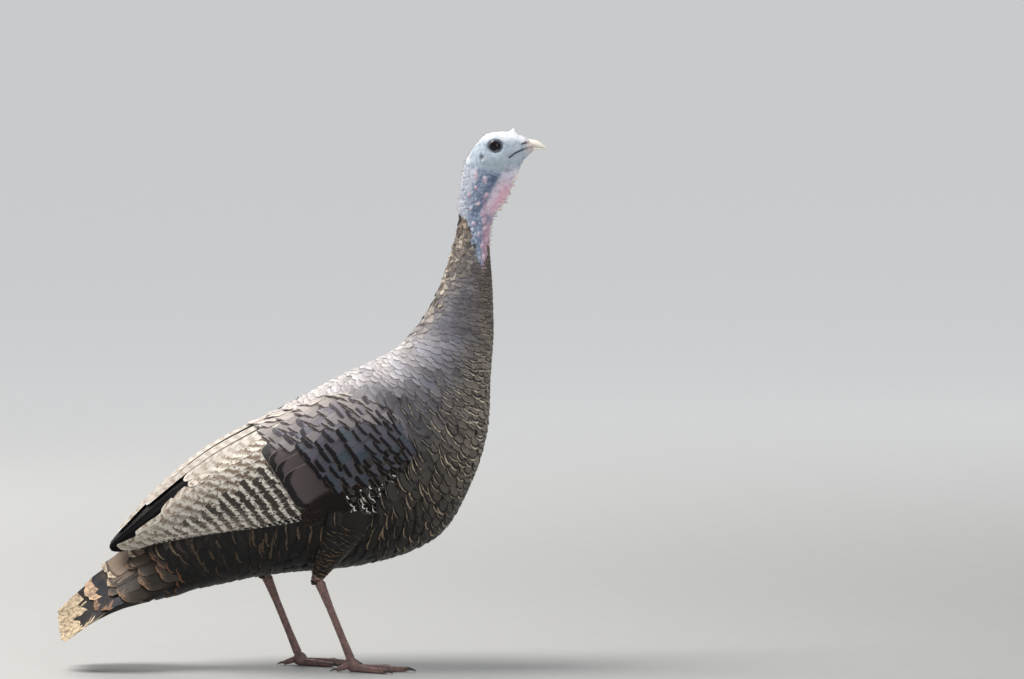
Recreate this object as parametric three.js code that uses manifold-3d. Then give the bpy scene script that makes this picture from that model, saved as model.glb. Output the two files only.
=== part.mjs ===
// A wild turkey hen, life size, standing alert on both feet. Millimetres, +X forward, +Y to its left, +Z up.
// The origin lies on the floor under the middle of the model's box.
import * as THREE from "three";
import { mergeVertices } from "three/addons/utils/BufferGeometryUtils.js";
import Module from "manifold-3d";

const wasm = await Module();
wasm.setup();

// ---- Driving dimensions -------------------------------------------------------------------------------

const GAP = 0.35; // clearance left between neighbouring solids
const BODY_SIDES = 24; // facets round the trunk and neck
const HEAD_SIDES = 20;

// The body line. Each slice runs from a point on the back line to a point on the front line, both in the
// mid-plane, and turns from upright at the bill's root to level in the neck and upright again at the rump.
// half: half width. wide: where the slice is widest, 0 at the front line and 1 at the back line.
// keel: 1 is a round front, more is a sharper one.
const slice = (back, front, half, wide = 0.5, keel = 1) => ({ back, front, half, wide, keel });
const BODY_LINE = [
  slice([269, 625.4], [275, 615.6], 6), // 0 root of the bill
  slice([259, 630.6], [271, 611.6], 8.4), // 1 nostrils
  slice([245, 634.6], [267, 608.0], 11.6), // 2 forehead
  slice([229.5, 635.2], [264, 605.0], 14.6), // 3 front of the eyes
  slice([214, 630.0], [261, 602.0], 16.2), // 4 crown
  slice([196, 607.0], [256, 592.0], 16.6, 0.55, 1.1), // 5 back of the skull to the chin
  slice([188.5, 582], [249.5, 577], 15.8, 0.62, 1.35), // 6 nape to throat
  slice([185.5, 555], [239.5, 554.5], 14.8, 0.66, 1.7), // 7 dewlap
  slice([184, 538], [227, 538], 14.6, 0.6, 1.3), // 8 narrowest of the bare neck
  slice([181, 515], [220.8, 514], 16.5), // 9 feathers begin
  slice([163.5, 458], [224.6, 454], 27), // 10
  slice([144, 419], [226, 398], 39), // 11
  slice([106, 378], [222.4, 345], 58, 0.52), // 12 base of the neck
  slice([47, 349], [219, 283], 80, 0.58), // 13 shoulders and crop
  slice([-8, 319], [199, 219], 89, 0.62, 1.1), // 14 breast
  slice([-66, 284], [160, 157], 88, 0.62, 1.15), // 15
  slice([-116, 246], [82, 125], 79, 0.6, 1.1), // 16 belly
  slice([-156, 209], [-34, 112], 60, 0.56), // 17 rump to vent
  slice([-176, 178], [-112, 97], 42, 0.52), // 18 root of the tail
  slice([-192, 152], [-154, 88], 27, 0.5), // 19 last of the rump
];
const HEAD_END = 7.5; // the cuts between the nodes, as places on the body line
const BARE_NECK_END = 9.35;
const NECK_END = 11.45;

const EYE = { x: 227.2, y: 11.4, z: 619.6, radius: 7.0, depth: 4.9 };
const SNOOD = { root: [246.5, 630], tip: [249.8, 638.6], radius: 4.3 };
const BILL_TIP = [289, 613.6];

// The folded wing is a curved shield from the shoulder to the tip. Each rib runs from its upper edge, near
// the spine, over the shoulder and flank to its lower edge. Points are [x, side, z]; bow is how far the rib
// stands out to the side.
const rib = (top, bottom, bow) => ({ top, bottom, bow });
const WING_RIBS = [
  rib([158, 46, 292], [160, 54, 270], 72), // 0 under the breast feathers
  rib([104, 36, 338], [130, 78, 238], 110), // 1 bend of the wing
  rib([42, 26, 336], [84, 84, 200], 122), // 2
  rib([-12, 18, 314], [19, 86, 184], 124), // 3
  rib([-64, 12, 291], [-40, 83, 176], 119), // 4
  rib([-115, 8, 263], [-97, 73, 169], 104), // 5 longest coverts end
  rib([-162, 7, 225], [-150, 59, 159], 80), // 6
  rib([-206, 8, 179], [-198, 35, 149], 45), // 7
  rib([-232, 13, 147], [-231, 18, 143], 17), // 8 tip
];
const WING = { steps: 17, bands: 12, inShoulder: 26, freeEnd: 8 }; // facets, and thickness in front and behind
const QUILLS = { rows: 4, step: 1.8, from: 0.4 }; // long quills that overlap like slates behind the coverts

// The tail: a steep, roof-shaped, nearly closed fan, each feather lying on the next one outwards. Where four
// numbers are given they are for the middle feather, two between, and the outermost.
const TAIL = {
  feathers: 6, // to a side, the middle one shared
  root: [-118, 230],
  pitch: [43, 44.5, 40, 31], // degrees below level
  length: [234.4, 238, 206, 158],
  drop: [0, 26, 58, 91], // how much lower each is rooted than the middle one
  rootHalf: 24, // half width where it leaves the body
  endHalf: 54, // and at its end
  thick: 3,
  lap: 1.4, // step from one feather to the next
  scallop: 8, // how far each rounded tip stands out
  coverts: 6, // thickness of the short feathers over the root
};

const LEG = {
  side: 40, // from the mid-plane to the shank
  footNear: 60, // x of the ball of the right foot, which is a step ahead
  footFar: -4,
  ball: 8, // height of the ball's centre
  hockBack: 42, // the hock lies this far behind the ball
  hockHeight: 112,
  kneeAhead: 54, // of the hock
  kneeSide: 54,
  kneeHeight: 222,
};
const TOE_PRESS = 0.9; // how much of each toe's roundness is flattened by the ground
// name, direction in degrees from straight ahead, positive outwards, length, root and tip radius, claw length
const TOES = [
  ["inner", -34, 47, 5.2, 3.4, 13],
  ["middle", 2, 64, 5.6, 3.5, 14],
  ["outer", 36, 49, 5.2, 3.4, 13],
  ["hind", 176, 20, 4.2, 3.0, 11],
];

// ---- Materials ------------------------------------------------------------------------------------------

const finish = (color, roughness, metalness = 0) => new THREE.MeshStandardMaterial({ color, roughness, metalness });
const FINISH = {
  feathers: finish(0x6b5d50, 0.7),
  wing: finish(0x5d5853, 0.6),
  tail: finish(0x4a3325, 0.7),
  bareSkin: finish(0xa9b2bb, 0.55),
  bill: finish(0xd9b9a0, 0.4),
  eye: finish(0x1b120e, 0.05),
  shank: finish(0x8d6a60, 0.55),
  claw: finish(0x4c3d36, 0.4),
};

// ---- Curves and solids ----------------------------------------------------------------------------------

// A smooth value through a list of numbers, read at a fractional index.
function through(values, at) {
  const i = Math.min(Math.max(Math.floor(at), 0), values.length - 2);
  const t = at - i;
  const b = values[i];
  const c = values[i + 1];
  const a = i > 0 ? values[i - 1] : 2 * b - c;
  const d = i + 2 < values.length ? values[i + 2] : 2 * c - b;
  return b + 0.5 * t * (c - a + t * (2 * a - 5 * b + 4 * c - d + t * (3 * (b - c) + d - a)));
}

const mix = (a, b, t) => a + (b - a) * t;
const range = (n) => Array.from({ length: n }, (_, i) => i);
const radians = THREE.MathUtils.degToRad;

// A closed body from rings of points, with both ends closed by a fan.
function loft(rings) {
  const sides = rings[0].length;
  const points = rings.flat();
  const middle = (ring) => ring.reduce((sum, p) => sum.add(p), new THREE.Vector3()).divideScalar(sides);
  points.push(middle(rings[0]), middle(rings.at(-1)));
  const triangles = [];
  for (let r = 0; r + 1 < rings.length; r++) {
    for (let i = 0; i < sides; i++) {
      const j = (i + 1) % sides;
      const [a, b, c, d] = [r * sides + i, r * sides + j, (r + 1) * sides + j, (r + 1) * sides + i];
      triangles.push(a, b, c, a, c, d);
    }
  }
  const last = (rings.length - 1) * sides;
  for (let i = 0; i < sides; i++) {
    const j = (i + 1) % sides;
    triangles.push(points.length - 2, j, i, points.length - 1, last + i, last + j);
  }
  return closedBody(points, triangles);
}

// A solid from points and triangles, turned to face outwards.
function closedBody(points, triangles) {
  let geometry = new THREE.BufferGeometry().setFromPoints(points);
  geometry.setIndex(triangles);
  geometry = mergeVertices(geometry, 1e-3);
  const triVerts = new Uint32Array(geometry.index.array);
  const vertProperties = geometry.attributes.position.array;
  if (signedVolume(vertProperties, triVerts) < 0) triVerts.reverse();
  return new wasm.Manifold(new wasm.Mesh({ numProp: 3, vertProperties, triVerts }));
}

function signedVolume(v, t) {
  let sum = 0;
  const at = (i) => new THREE.Vector3(v[3 * i], v[3 * i + 1], v[3 * i + 2]);
  for (let i = 0; i < t.length; i += 3) sum += at(t[i]).dot(at(t[i + 1]).cross(at(t[i + 2])));
  return sum / 6;
}

function geometryOf(solid) {
  const { numProp, vertProperties, triVerts } = solid.getMesh();
  const count = vertProperties.length / numProp;
  const positions = new Float32Array(count * 3);
  for (const i of range(count)) positions.set(vertProperties.subarray(i * numProp, i * numProp + 3), 3 * i);
  const geometry = new THREE.BufferGeometry();
  geometry.setAttribute("position", new THREE.BufferAttribute(positions, 3));
  geometry.setIndex(new THREE.BufferAttribute(new Uint32Array(triVerts), 1));
  geometry.computeVertexNormals();
  return geometry;
}

// The largest piece of a cut solid: what a cut leaves of the far side is dropped.
function mainPiece(solid) {
  return solid.decompose().sort((a, b) => b.volume() - a.volume())[0];
}

const without = (solid, ...others) => mainPiece(others.reduce((left, other) => left.subtract(other), solid));

// ---- Body line ------------------------------------------------------------------------------------------

const lineValue = (pick, at) => through(BODY_LINE.map(pick), at);

// A ring of points round the body at a place on the line, grown outwards by grow.
function bodyRing(at, sides, grow = 0) {
  const back = [lineValue((s) => s.back[0], at), lineValue((s) => s.back[1], at)];
  const front = [lineValue((s) => s.front[0], at), lineValue((s) => s.front[1], at)];
  const half = lineValue((s) => s.half, at) + grow;
  const wide = lineValue((s) => s.wide, at);
  const keel = lineValue((s) => s.keel, at);
  const depth = Math.hypot(back[0] - front[0], back[1] - front[1]);
  const up = [(back[0] - front[0]) / depth, (back[1] - front[1]) / depth];
  const centre = [mix(front[0], back[0], wide), mix(front[1], back[1], wide)];
  return range(sides).map((i) => {
    const angle = (2 * Math.PI * i) / sides;
    const [c, s] = [Math.cos(angle), Math.sin(angle)];
    const reach = c * ((c > 0 ? 1 - wide : wide) * depth + grow);
    const side = half * Math.sign(s) * Math.abs(s) ** (c > 0 ? 1 : keel);
    return new THREE.Vector3(centre[0] + reach * up[0], side, centre[1] + reach * up[1]);
  });
}

// The body between two places on the line, closed at both ends.
function bodyLength(from, to, steps, sides, grow = 0) {
  return loft(range(steps + 1).map((i) => bodyRing(mix(from, to, i / steps), sides, grow)));
}

// How far along the line a node stops short of a cut, so that half the gap is left there.
function shortOf(at) {
  const step = 0.01;
  const [a, b] = [bodyRing(at, 8), bodyRing(at + step, 8)];
  const nearest = Math.min(...a.map((p, i) => p.distanceTo(b[i])));
  return ((GAP / 2) * step) / nearest;
}

// ---- Head -----------------------------------------------------------------------------------------------

function stockSolid(geometry) {
  geometry.deleteAttribute("normal");
  geometry.deleteAttribute("uv");
  const merged = mergeVertices(geometry, 1e-4);
  const position = merged.attributes.position;
  const points = range(position.count).map((i) => new THREE.Vector3().fromBufferAttribute(position, i));
  return closedBody(points, [...merged.index.array]);
}

const ellipsoid = ([x, y, z], [a, b, c], detail = 12) =>
  stockSolid(new THREE.SphereGeometry(1, detail, detail / 2).rotateX(Math.PI / 2).scale(a, b, c).translate(x, y, z));

const eyeball = (side, grow = 0) =>
  ellipsoid([EYE.x, side * EYE.y, EYE.z], [EYE.radius + grow, EYE.depth + grow, EYE.radius + grow]);

// A tapering body from slices of [top point, bottom point, half width], all in the mid-plane.
function wedge(slices, sides = 12) {
  return loft(
    slices.map(([top, bottom, half]) => {
      const [cx, cz] = [(top[0] + bottom[0]) / 2, (top[1] + bottom[1]) / 2];
      return range(sides).map((i) => {
        const [c, s] = [Math.cos((2 * Math.PI * i) / sides), Math.sin((2 * Math.PI * i) / sides)];
        return new THREE.Vector3(cx + (c * (top[0] - bottom[0])) / 2, s * half, cz + (c * (top[1] - bottom[1])) / 2);
      });
    }),
  );
}

function upperBill() {
  return wedge([
    [[266.5, 626.2], [268, 619.4], 6.4],
    [[272, 625.9], [273.5, 618.2], 5.8],
    [[277.5, 624.6], [278.5, 617.4], 4.9],
    [[282.5, 621.8], [283, 616.9], 3.7],
    [[286.5, 618.2], [286.4, 615.6], 2.3],
    [[BILL_TIP[0], BILL_TIP[1] + 1.1], BILL_TIP, 0.7],
  ]);
}

function lowerBill() {
  return wedge([
    [[268, 618.6], [269, 613.6], 5.6],
    [[273.5, 617.7], [274.5, 614.0], 4.9],
    [[279, 616.8], [279.6, 614.3], 3.7],
    [[283.4, 616.2], [283.8, 614.8], 2.3],
    [[285.6, 615.2], [285.7, 614.6], 0.9],
  ]);
}

function snood() {
  const rings = range(6).map((i) => {
    const t = i / 5;
    const radius = Math.max(SNOOD.radius * Math.cos((t * Math.PI) / 2) ** 0.7, 0.5);
    return range(8).map((k) => {
      const angle = (2 * Math.PI * k) / 8;
      const x = mix(SNOOD.root[0], SNOOD.tip[0], t) + radius * Math.cos(angle) * 0.8;
      return new THREE.Vector3(x, radius * Math.sin(angle), mix(SNOOD.root[1], SNOOD.tip[1], t) - radius * Math.cos(angle) * 0.5);
    });
  });
  return loft(rings);
}

// ---- Wing -----------------------------------------------------------------------------------------------

// A point on the wing's outer face. along: 0 at the bend and 1 at the tip. across: 0 at the upper edge and 1
// at the lower. inwards: how far under the outer face.
function wingPoint(side, along, across, inwards) {
  const at = along * (WING_RIBS.length - 1);
  const value = (pick) => through(WING_RIBS.map(pick), at);
  const top = range(3).map((k) => value((r) => r.top[k]));
  const bottom = range(3).map((k) => value((r) => r.bottom[k]));
  const bow = value((r) => r.bow);
  const shoulder = [mix(top[0], bottom[0], 0.3), bow, mix(top[2], bottom[2], 0.02)];
  const flank = [mix(top[0], bottom[0], 0.7), bow, mix(top[2], bottom[2], 0.62)];
  const curve = new THREE.CubicBezierCurve3(...[top, shoulder, flank, bottom].map((p) => new THREE.Vector3(...p)));
  const point = curve.getPoint(across);
  const slope = curve.getTangent(across);
  const length = Math.hypot(slope.y, slope.z);
  const [y, z] = [point.y + (inwards * slope.z) / length, point.z - (inwards * slope.y) / length];
  return new THREE.Vector3(point.x, side * y, z);
}

// How far the outer face steps in under the quill above it.
function quillStep(along, across) {
  const rear = THREE.MathUtils.smoothstep(along, QUILLS.from, QUILLS.from + 0.06);
  const end = 1 - THREE.MathUtils.smoothstep(along, 0.84, 1);
  return rear * end * QUILLS.step * (1 - ((across * QUILLS.rows) % 1));
}

function wing(side, grow = 0) {
  const rings = range(WING.steps + 1).map((i) => {
    const along = i / WING.steps;
    const thin = THREE.MathUtils.smoothstep(along, 0.46, 0.72);
    const end = THREE.MathUtils.smoothstep(along, 0.8, 1);
    const deep = mix(WING.inShoulder, WING.freeEnd, thin) * (1 - 0.75 * end);
    const outer = range(WING.bands + 1).map((k) => {
      const across = k / WING.bands;
      return wingPoint(side, along, across, quillStep(along, across) - grow);
    });
    const inner = range(WING.bands - 1).map((k) => {
      const across = 1 - (k + 1) / WING.bands;
      return wingPoint(side, along, across, Math.max(deep * Math.sin(Math.PI * across) ** 0.4, 2) + grow);
    });
    return [...outer, ...inner];
  });
  return loft(rings);
}

// ---- Tail -----------------------------------------------------------------------------------------------

// A point on the fan. across: -1 at the right edge, 1 at the left. along: 0 at the root, 1 at the end.
function tailPoint(across, along, above, past) {
  const order = Math.abs(across);
  const pitch = radians(through(TAIL.pitch, 3 * order));
  const reach = along * (through(TAIL.length, 3 * order) + past);
  const half = mix(TAIL.rootHalf, TAIL.endHalf, along);
  const x = TAIL.root[0] - reach * Math.cos(pitch);
  const y = half * Math.sin((across * Math.PI) / 2.1);
  const z = TAIL.root[1] - through(TAIL.drop, 3 * order) - reach * Math.sin(pitch);
  const lean = order * 1.1; // the fan's face turns from upwards to sideways
  return new THREE.Vector3(x, y + Math.sign(across) * above * Math.sin(lean), z + above * Math.cos(lean));
}

// The fan of long tail feathers, as a stepped sheet with a scalloped end.
function tailFan() {
  const count = 2 * TAIL.feathers - 1;
  const columns = range(count).flatMap((i) => {
    const lapped = (at) => TAIL.lap * (i < count / 2 - 0.5 ? at : i > count / 2 - 0.5 ? 1 - at : 1);
    return [0.02, 0.5, 0.98].map((at) => ({
      across: (2 * (i + at)) / count - 1,
      above: lapped(at),
      past: TAIL.scallop * (Math.sqrt(1 - (2 * at - 1) ** 2) - 1),
    }));
  });
  const row = (along, under) => {
    const coverts = TAIL.coverts * (1 - THREE.MathUtils.smoothstep(along, 0.62, 0.74));
    return columns.map(({ across, above, past }) =>
      tailPoint(across, along, under ? -TAIL.thick - coverts : above + coverts, past));
  };
  const rows = [0.12, 0.36, 0.6, 0.74, 0.88, 1];
  return loft(rows.map((along) => [...row(along, false), ...row(along, true).reverse()]));
}

// The coverts under the root of the tail, as [x, upper z, lower z, half width].
const UNDERTAIL = [
  [-126, 170, 93, 34],
  [-156, 152, 85, 36],
  [-184, 132, 80, 34],
  [-208, 112, 75, 29],
  [-228, 92, 68, 20],
  [-240, 78, 64, 8],
];

function undertail() {
  return loft(
    UNDERTAIL.map(([x, top, bottom, half]) =>
      range(12).map((i) => {
        const [c, s] = [Math.cos((2 * Math.PI * i) / 12), Math.sin((2 * Math.PI * i) / 12)];
        return new THREE.Vector3(x + c * 8, half * s, mix(bottom, top, (c + 1) / 2));
      }),
    ),
  );
}

const tail = () => tailFan().add(undertail());

// ---- Legs -----------------------------------------------------------------------------------------------

// A tapering round limb through points with radii; flatten squashes it from side to side.
function limb(stops, sides = 12, flatten = 1) {
  const rings = stops.map(([point, radius], i) => {
    const before = stops[Math.max(i - 1, 0)][0];
    const after = stops[Math.min(i + 1, stops.length - 1)][0];
    const way = new THREE.Vector3(...after).sub(new THREE.Vector3(...before)).normalize();
    const across = new THREE.Vector3(0, 1, 0).cross(way).lengthSq() > 0.01 ? new THREE.Vector3(0, 1, 0) : new THREE.Vector3(1, 0, 0);
    const u = across.clone().addScaledVector(way, -across.dot(way)).normalize();
    const v = way.clone().cross(u);
    return range(sides).map((k) => {
      const angle = (2 * Math.PI * k) / sides;
      return new THREE.Vector3(...point)
        .addScaledVector(u, radius * flatten * Math.cos(angle))
        .addScaledVector(v, radius * Math.sin(angle));
    });
  });
  return loft(rings);
}

function legPoints(side, ballX) {
  const y = side * LEG.side;
  return {
    ball: [ballX, y, LEG.ball],
    hock: [ballX - LEG.hockBack, y, LEG.hockHeight],
    knee: [ballX - LEG.hockBack + LEG.kneeAhead, side * LEG.kneeSide, LEG.kneeHeight],
  };
}

const between = (a, b, t) => a.map((value, k) => mix(value, b[k], t));

function shank({ ball, hock }, grow = 0) {
  const stops = [
    [0.045, 5.2], [0.1, 4.6], [0.3, 3.9], [0.65, 4.0], [0.86, 5.2], [0.97, 6.3], [1.05, 5.6], [1.1, 3.6],
  ];
  return limb(stops.map(([t, radius]) => [between(ball, hock, t), radius + grow]), 12, 0.88);
}

function thigh({ hock, knee }) {
  const stops = [
    [-0.04, 6.8], [0.04, 10], [0.14, 14.5], [0.27, 20.5], [0.44, 28.5], [0.62, 35.5], [0.8, 38], [0.98, 33],
  ];
  return limb(stops.map(([t, radius]) => [between(hock, knee, t), radius]), 16, 0.86);
}

// Where a toe ends, low enough for its underside to be flattened by the ground.
function toeEnd({ ball }, side, [, degrees, length, , tipRadius]) {
  const angle = radians(degrees);
  return [ball[0] + length * Math.cos(angle), ball[1] + side * length * Math.sin(angle), tipRadius - TOE_PRESS];
}

function toe(leg, side, spec) {
  const [name, , length, rootRadius, tipRadius] = spec;
  const hind = name === "hind";
  const root = hind ? [leg.ball[0] - 2, leg.ball[1], 11] : [leg.ball[0], leg.ball[1], rootRadius - TOE_PRESS];
  const end = toeEnd(leg, side, spec);
  const pieces = hind ? 1 : 3;
  const stops = range(pieces + 1).map((i) => {
    const t = i / pieces;
    const knuckle = i % 2 === 0 ? 1.02 : 0.94;
    return [between(root, end, t), mix(rootRadius, tipRadius, t) * knuckle];
  });
  const pad = between(root, end, 1 + 1.8 / length);
  return limb([...stops, [pad, tipRadius * 0.62]], 8);
}

// The ground, as a block whose top is at zero.
const ground = () => stockSolid(new THREE.BoxGeometry(800, 400, 100).translate(0, 0, -50));

// The foot: four toes that meet in the ball, with flats where they press on the floor.
function foot(leg, side) {
  const [x, y, z] = leg.ball;
  const ball = ellipsoid([x, y, z], [8.5, 7.6, 8.6], 10);
  return TOES.map((spec) => toe(leg, side, spec)).reduce((all, one) => all.add(one), ball).subtract(ground());
}

function claw(leg, side, spec, grow = 0) {
  const [, degrees, , , tipRadius, clawLength] = spec;
  const end = toeEnd(leg, side, spec);
  const angle = radians(degrees);
  const stops = range(4).map((i) => {
    const t = i / 3;
    const reach = clawLength * t - 3;
    const height = tipRadius + 0.2 + Math.sin(Math.PI * t) - (tipRadius - 0.8) * t ** 1.5;
    const point = [end[0] + reach * Math.cos(angle), end[1] + side * reach * Math.sin(angle), height];
    return [point, mix(tipRadius * 0.74, 0.55, t ** 0.9) + grow];
  });
  return limb(stops, 6, 0.8);
}

// ---- Assembly -------------------------------------------------------------------------------------------

const turkey = new THREE.Group();

function addNode(name, solid, material) {
  const mesh = new THREE.Mesh(geometryOf(solid), material);
  mesh.name = name;
  turkey.add(mesh);
}

const sides = [["right", -1], ["left", 1]];

function addHeadAndNeck() {
  const headGrown = bodyLength(-0.03, HEAD_END, 13, HEAD_SIDES, GAP);
  const sockets = sides.map(([, side]) => eyeball(side, GAP));
  const head = bodyLength(0, HEAD_END - shortOf(HEAD_END), 14, HEAD_SIDES);
  addNode("head", without(head, ...sockets), FINISH.bareSkin);
  addNode("snood", without(snood(), headGrown), FINISH.bareSkin);
  addNode("bill_upper", without(upperBill(), headGrown), FINISH.bill);
  addNode("bill_lower", without(lowerBill(), headGrown), FINISH.bill);
  for (const [name, side] of sides) addNode("eye_" + name, eyeball(side), FINISH.eye);
  const neckFrom = HEAD_END + shortOf(HEAD_END);
  addNode("neck_bare", bodyLength(neckFrom, BARE_NECK_END - shortOf(BARE_NECK_END), 5, HEAD_SIDES), FINISH.bareSkin);
  const featheredFrom = BARE_NECK_END + shortOf(BARE_NECK_END);
  addNode("neck", bodyLength(featheredFrom, NECK_END - shortOf(NECK_END), 6, BODY_SIDES), FINISH.feathers);
}

function addTrunkWingsAndTail() {
  const trunkFrom = NECK_END + shortOf(NECK_END);
  const trunkEnd = BODY_LINE.length - 1;
  addNode("trunk", bodyLength(trunkFrom, trunkEnd, 18, BODY_SIDES), FINISH.feathers);
  const grown = bodyLength(trunkFrom, trunkEnd, 18, BODY_SIDES, GAP);
  for (const [name, side] of sides) addNode("wing_" + name, without(wing(side), grown), FINISH.wing);
  const grownWings = sides.map(([, side]) => wing(side, GAP));
  addNode("tail", without(tail(), grown, ...grownWings), FINISH.tail);
  return grown;
}

function addLegs(trunkGrown) {
  for (const [name, side] of sides) {
    const leg = legPoints(side, side < 0 ? LEG.footNear : LEG.footFar);
    const shankSolid = shank(leg);
    const footSolid = foot(leg, side);
    addNode("thigh_" + name, without(thigh(leg), trunkGrown, shank(leg, GAP), wing(side, GAP)), FINISH.feathers);
    const footGrown = ellipsoid(leg.ball, [8.5 + GAP, 7.6 + GAP, 8.6 + GAP], 10);
    const hindGrown = limb([[[leg.ball[0] - 2, leg.ball[1], 11], 4.9], [toeEnd(leg, side, TOES[3]), 3.8]], 10);
    addNode("shank_" + name, without(shankSolid, footGrown, hindGrown), FINISH.shank);
    const clawsGrown = TOES.map((spec) => claw(leg, side, spec, GAP));
    addNode("foot_" + name, without(footSolid, ...clawsGrown), FINISH.shank);
    for (const spec of TOES) addNode(`claw_${spec[0]}_${name}`, mainPiece(claw(leg, side, spec).subtract(ground())), FINISH.claw);
  }
}

addHeadAndNeck();
addLegs(addTrunkWingsAndTail());

export default turkey;
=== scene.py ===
"""A life-size wild turkey hen standing with her head up: skin, plumage, bill, eyes, legs and claws."""

import logging
import math
from dataclasses import dataclass, replace
from enum import Enum
from functools import cache, cached_property
from itertools import product
from typing import Callable, Iterator

import bpy
import numpy as np
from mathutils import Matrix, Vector


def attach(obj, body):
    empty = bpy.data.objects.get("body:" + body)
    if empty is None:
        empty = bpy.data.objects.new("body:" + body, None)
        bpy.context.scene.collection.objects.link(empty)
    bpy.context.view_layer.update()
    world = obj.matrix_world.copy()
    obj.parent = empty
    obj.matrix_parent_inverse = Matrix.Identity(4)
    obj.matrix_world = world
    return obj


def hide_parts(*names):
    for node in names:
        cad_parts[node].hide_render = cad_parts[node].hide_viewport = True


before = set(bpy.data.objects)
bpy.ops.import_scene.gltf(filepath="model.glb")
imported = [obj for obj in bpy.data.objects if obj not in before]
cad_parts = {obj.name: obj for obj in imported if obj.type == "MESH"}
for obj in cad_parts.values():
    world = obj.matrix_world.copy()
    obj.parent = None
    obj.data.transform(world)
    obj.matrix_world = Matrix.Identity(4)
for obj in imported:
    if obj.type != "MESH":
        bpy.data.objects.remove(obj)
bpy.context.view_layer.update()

LOG = logging.getLogger("turkey_hen")
BODY = "root"
METRE = 0.001  # the model is worked out in millimetres and written in metres
SIDES = {"left": 1, "right": -1}  # the sign of Y on each side
SEED = 40
CREASE = 50  # edges sharper than this many degrees show as edges
Array = np.ndarray
Material, Piece = bpy.types.Material, bpy.types.Object
Tint, Pair, Rows = tuple[int, int, int], tuple[float, float], tuple[tuple[float, ...], ...]
Number = "float | Wire"
UP, LEFT = np.array([0.0, 0, 1]), np.array([0.0, 1, 0])


# ---------------------------------------------------------------- small sums

def mix(a: "Array | float", b: "Array | float", t: "Array | float") -> "Array | float":
    """The value that lies t of the way from a to b."""
    return a + (b - a) * t


def smooth(low: float, high: float, value: "Array | float") -> Array:
    """An S-shaped rise from 0 at low to 1 at high."""
    t = np.clip((np.asarray(value, float) - low) / (high - low), 0, 1)
    return t * t * (3 - 2 * t)


def unit(vectors: Array) -> Array:
    """The vectors at length one."""
    return vectors / np.maximum(np.linalg.norm(vectors, axis=-1, keepdims=True), 1e-9)


def through(values: "Array | tuple", at: "Array | float") -> Array:
    """A smooth curve through evenly spaced values.

    Args:
        values: The values, one row each.
        at: Where to read the curve, counted in rows and held inside them.

    Returns:
        The curve's values, in the shape of at, followed by a row's own shape.
    """
    values = np.asarray(values, float)
    at = np.clip(np.asarray(at, float), 0, len(values) - 1)
    cell = np.minimum(np.floor(at).astype(int), len(values) - 2)
    t = at - cell
    if values.ndim > 1:
        t = t[..., None]
    ends = np.concatenate([2 * values[:1] - values[1:2], values, 2 * values[-1:] - values[-2:-1]])
    a, b, c, d = (ends[cell + k] for k in range(4))
    return b + 0.5 * t * (c - a + t * (2 * a - 5 * b + 4 * c - d + t * (3 * (b - c) + d - a)))


def bump(points: Array, centre: tuple[float, ...], radii: tuple[float, ...]) -> Array:
    """A soft mound, 1 at the centre and about 0.1 at its radii."""
    away = (points - np.asarray(centre)) / np.asarray(radii)
    return np.exp(-2.3 * np.sum(away * away, axis=-1))


def groove(points: Array, line: list[Pair], width: float) -> Array:
    """How deep in a groove each point lies, seen from the side.

    Args:
        points: The points.
        line: The groove's course as (x, z).
        width: The groove's half width.

    Returns:
        1 on the line, falling to 0 beyond the half width.
    """
    flat = points[..., [0, 2]]
    nearest = np.full(flat.shape[:-1], 1e9)
    for start, end in zip(line, line[1:]):
        a, run = np.asarray(start), np.subtract(end, start)
        t = np.clip((flat - a) @ run / (run @ run), 0, 1)
        nearest = np.minimum(nearest, np.linalg.norm(flat - a - t[..., None] * run, axis=-1))
    return 1 - smooth(0, width, nearest)


def ripple(points: Array, size: float, seed: int = 0) -> Array:
    """A smooth random field from -1 to 1 with features of about one size.

    Args:
        points: Where to read it.
        size: The distance from one swell to the next.
        seed: Which field.

    Returns:
        The field's value at each point.
    """
    rng = np.random.default_rng(seed)
    total = np.zeros(points.shape[:-1])
    waves = 10
    for _ in range(waves):
        heading = unit(rng.normal(size=3))
        phase = points @ heading * (2 * math.pi / size) * rng.uniform(0.7, 1.3)
        total += np.sin(phase + rng.uniform(0, 6.3))
    return total / math.sqrt(waves)


def cobbles(points: Array, size: float, seed: int = 0) -> tuple[Array, Array]:
    """Rounded stones packed side by side, as a warty skin has.

    Args:
        points: Where to read them.
        size: The distance from one to the next.
        seed: Which packing.

    Returns:
        How far inside its own stone each point lies, 0 in the joints, and a random share for each stone.
    """
    at = points / size
    base = np.floor(at)
    near, second = np.full(len(at), 9.0), np.full(len(at), 9.0)
    share = np.zeros(len(at))
    for step in np.ndindex(3, 3, 3):
        cell = base + np.array(step) - 1
        spin = np.stack([np.sin(cell @ np.array(way) + seed) * 43758.5453 for way in (
            (127.1, 311.7, 74.7), (269.5, 183.3, 246.1), (113.5, 271.9, 124.6))], -1)
        away = np.linalg.norm(cell + 0.1 + 0.8 * (spin % 1) - at, axis=-1)
        closer = away < near
        second = np.where(closer, near, np.minimum(second, away))
        share = np.where(closer, spin[:, 0] % 1, share)
        near = np.where(closer, away, near)
    return second - near, share


def linear(red: int, green: int, blue: int) -> Array:
    """A display colour, from 0 to 255, as light values."""
    c = np.array([red, green, blue]) / 255
    return np.where(c <= 0.04045, c / 12.92, ((c + 0.055) / 1.055) ** 2.4)


# ------------------------------------------------------------ meshes and surfaces

def linked(name: str, data: bpy.types.ID) -> Piece:
    """A new object of some data, linked to the scene."""
    piece = bpy.data.objects.new(name, data)
    bpy.context.scene.collection.objects.link(piece)
    return piece


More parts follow.
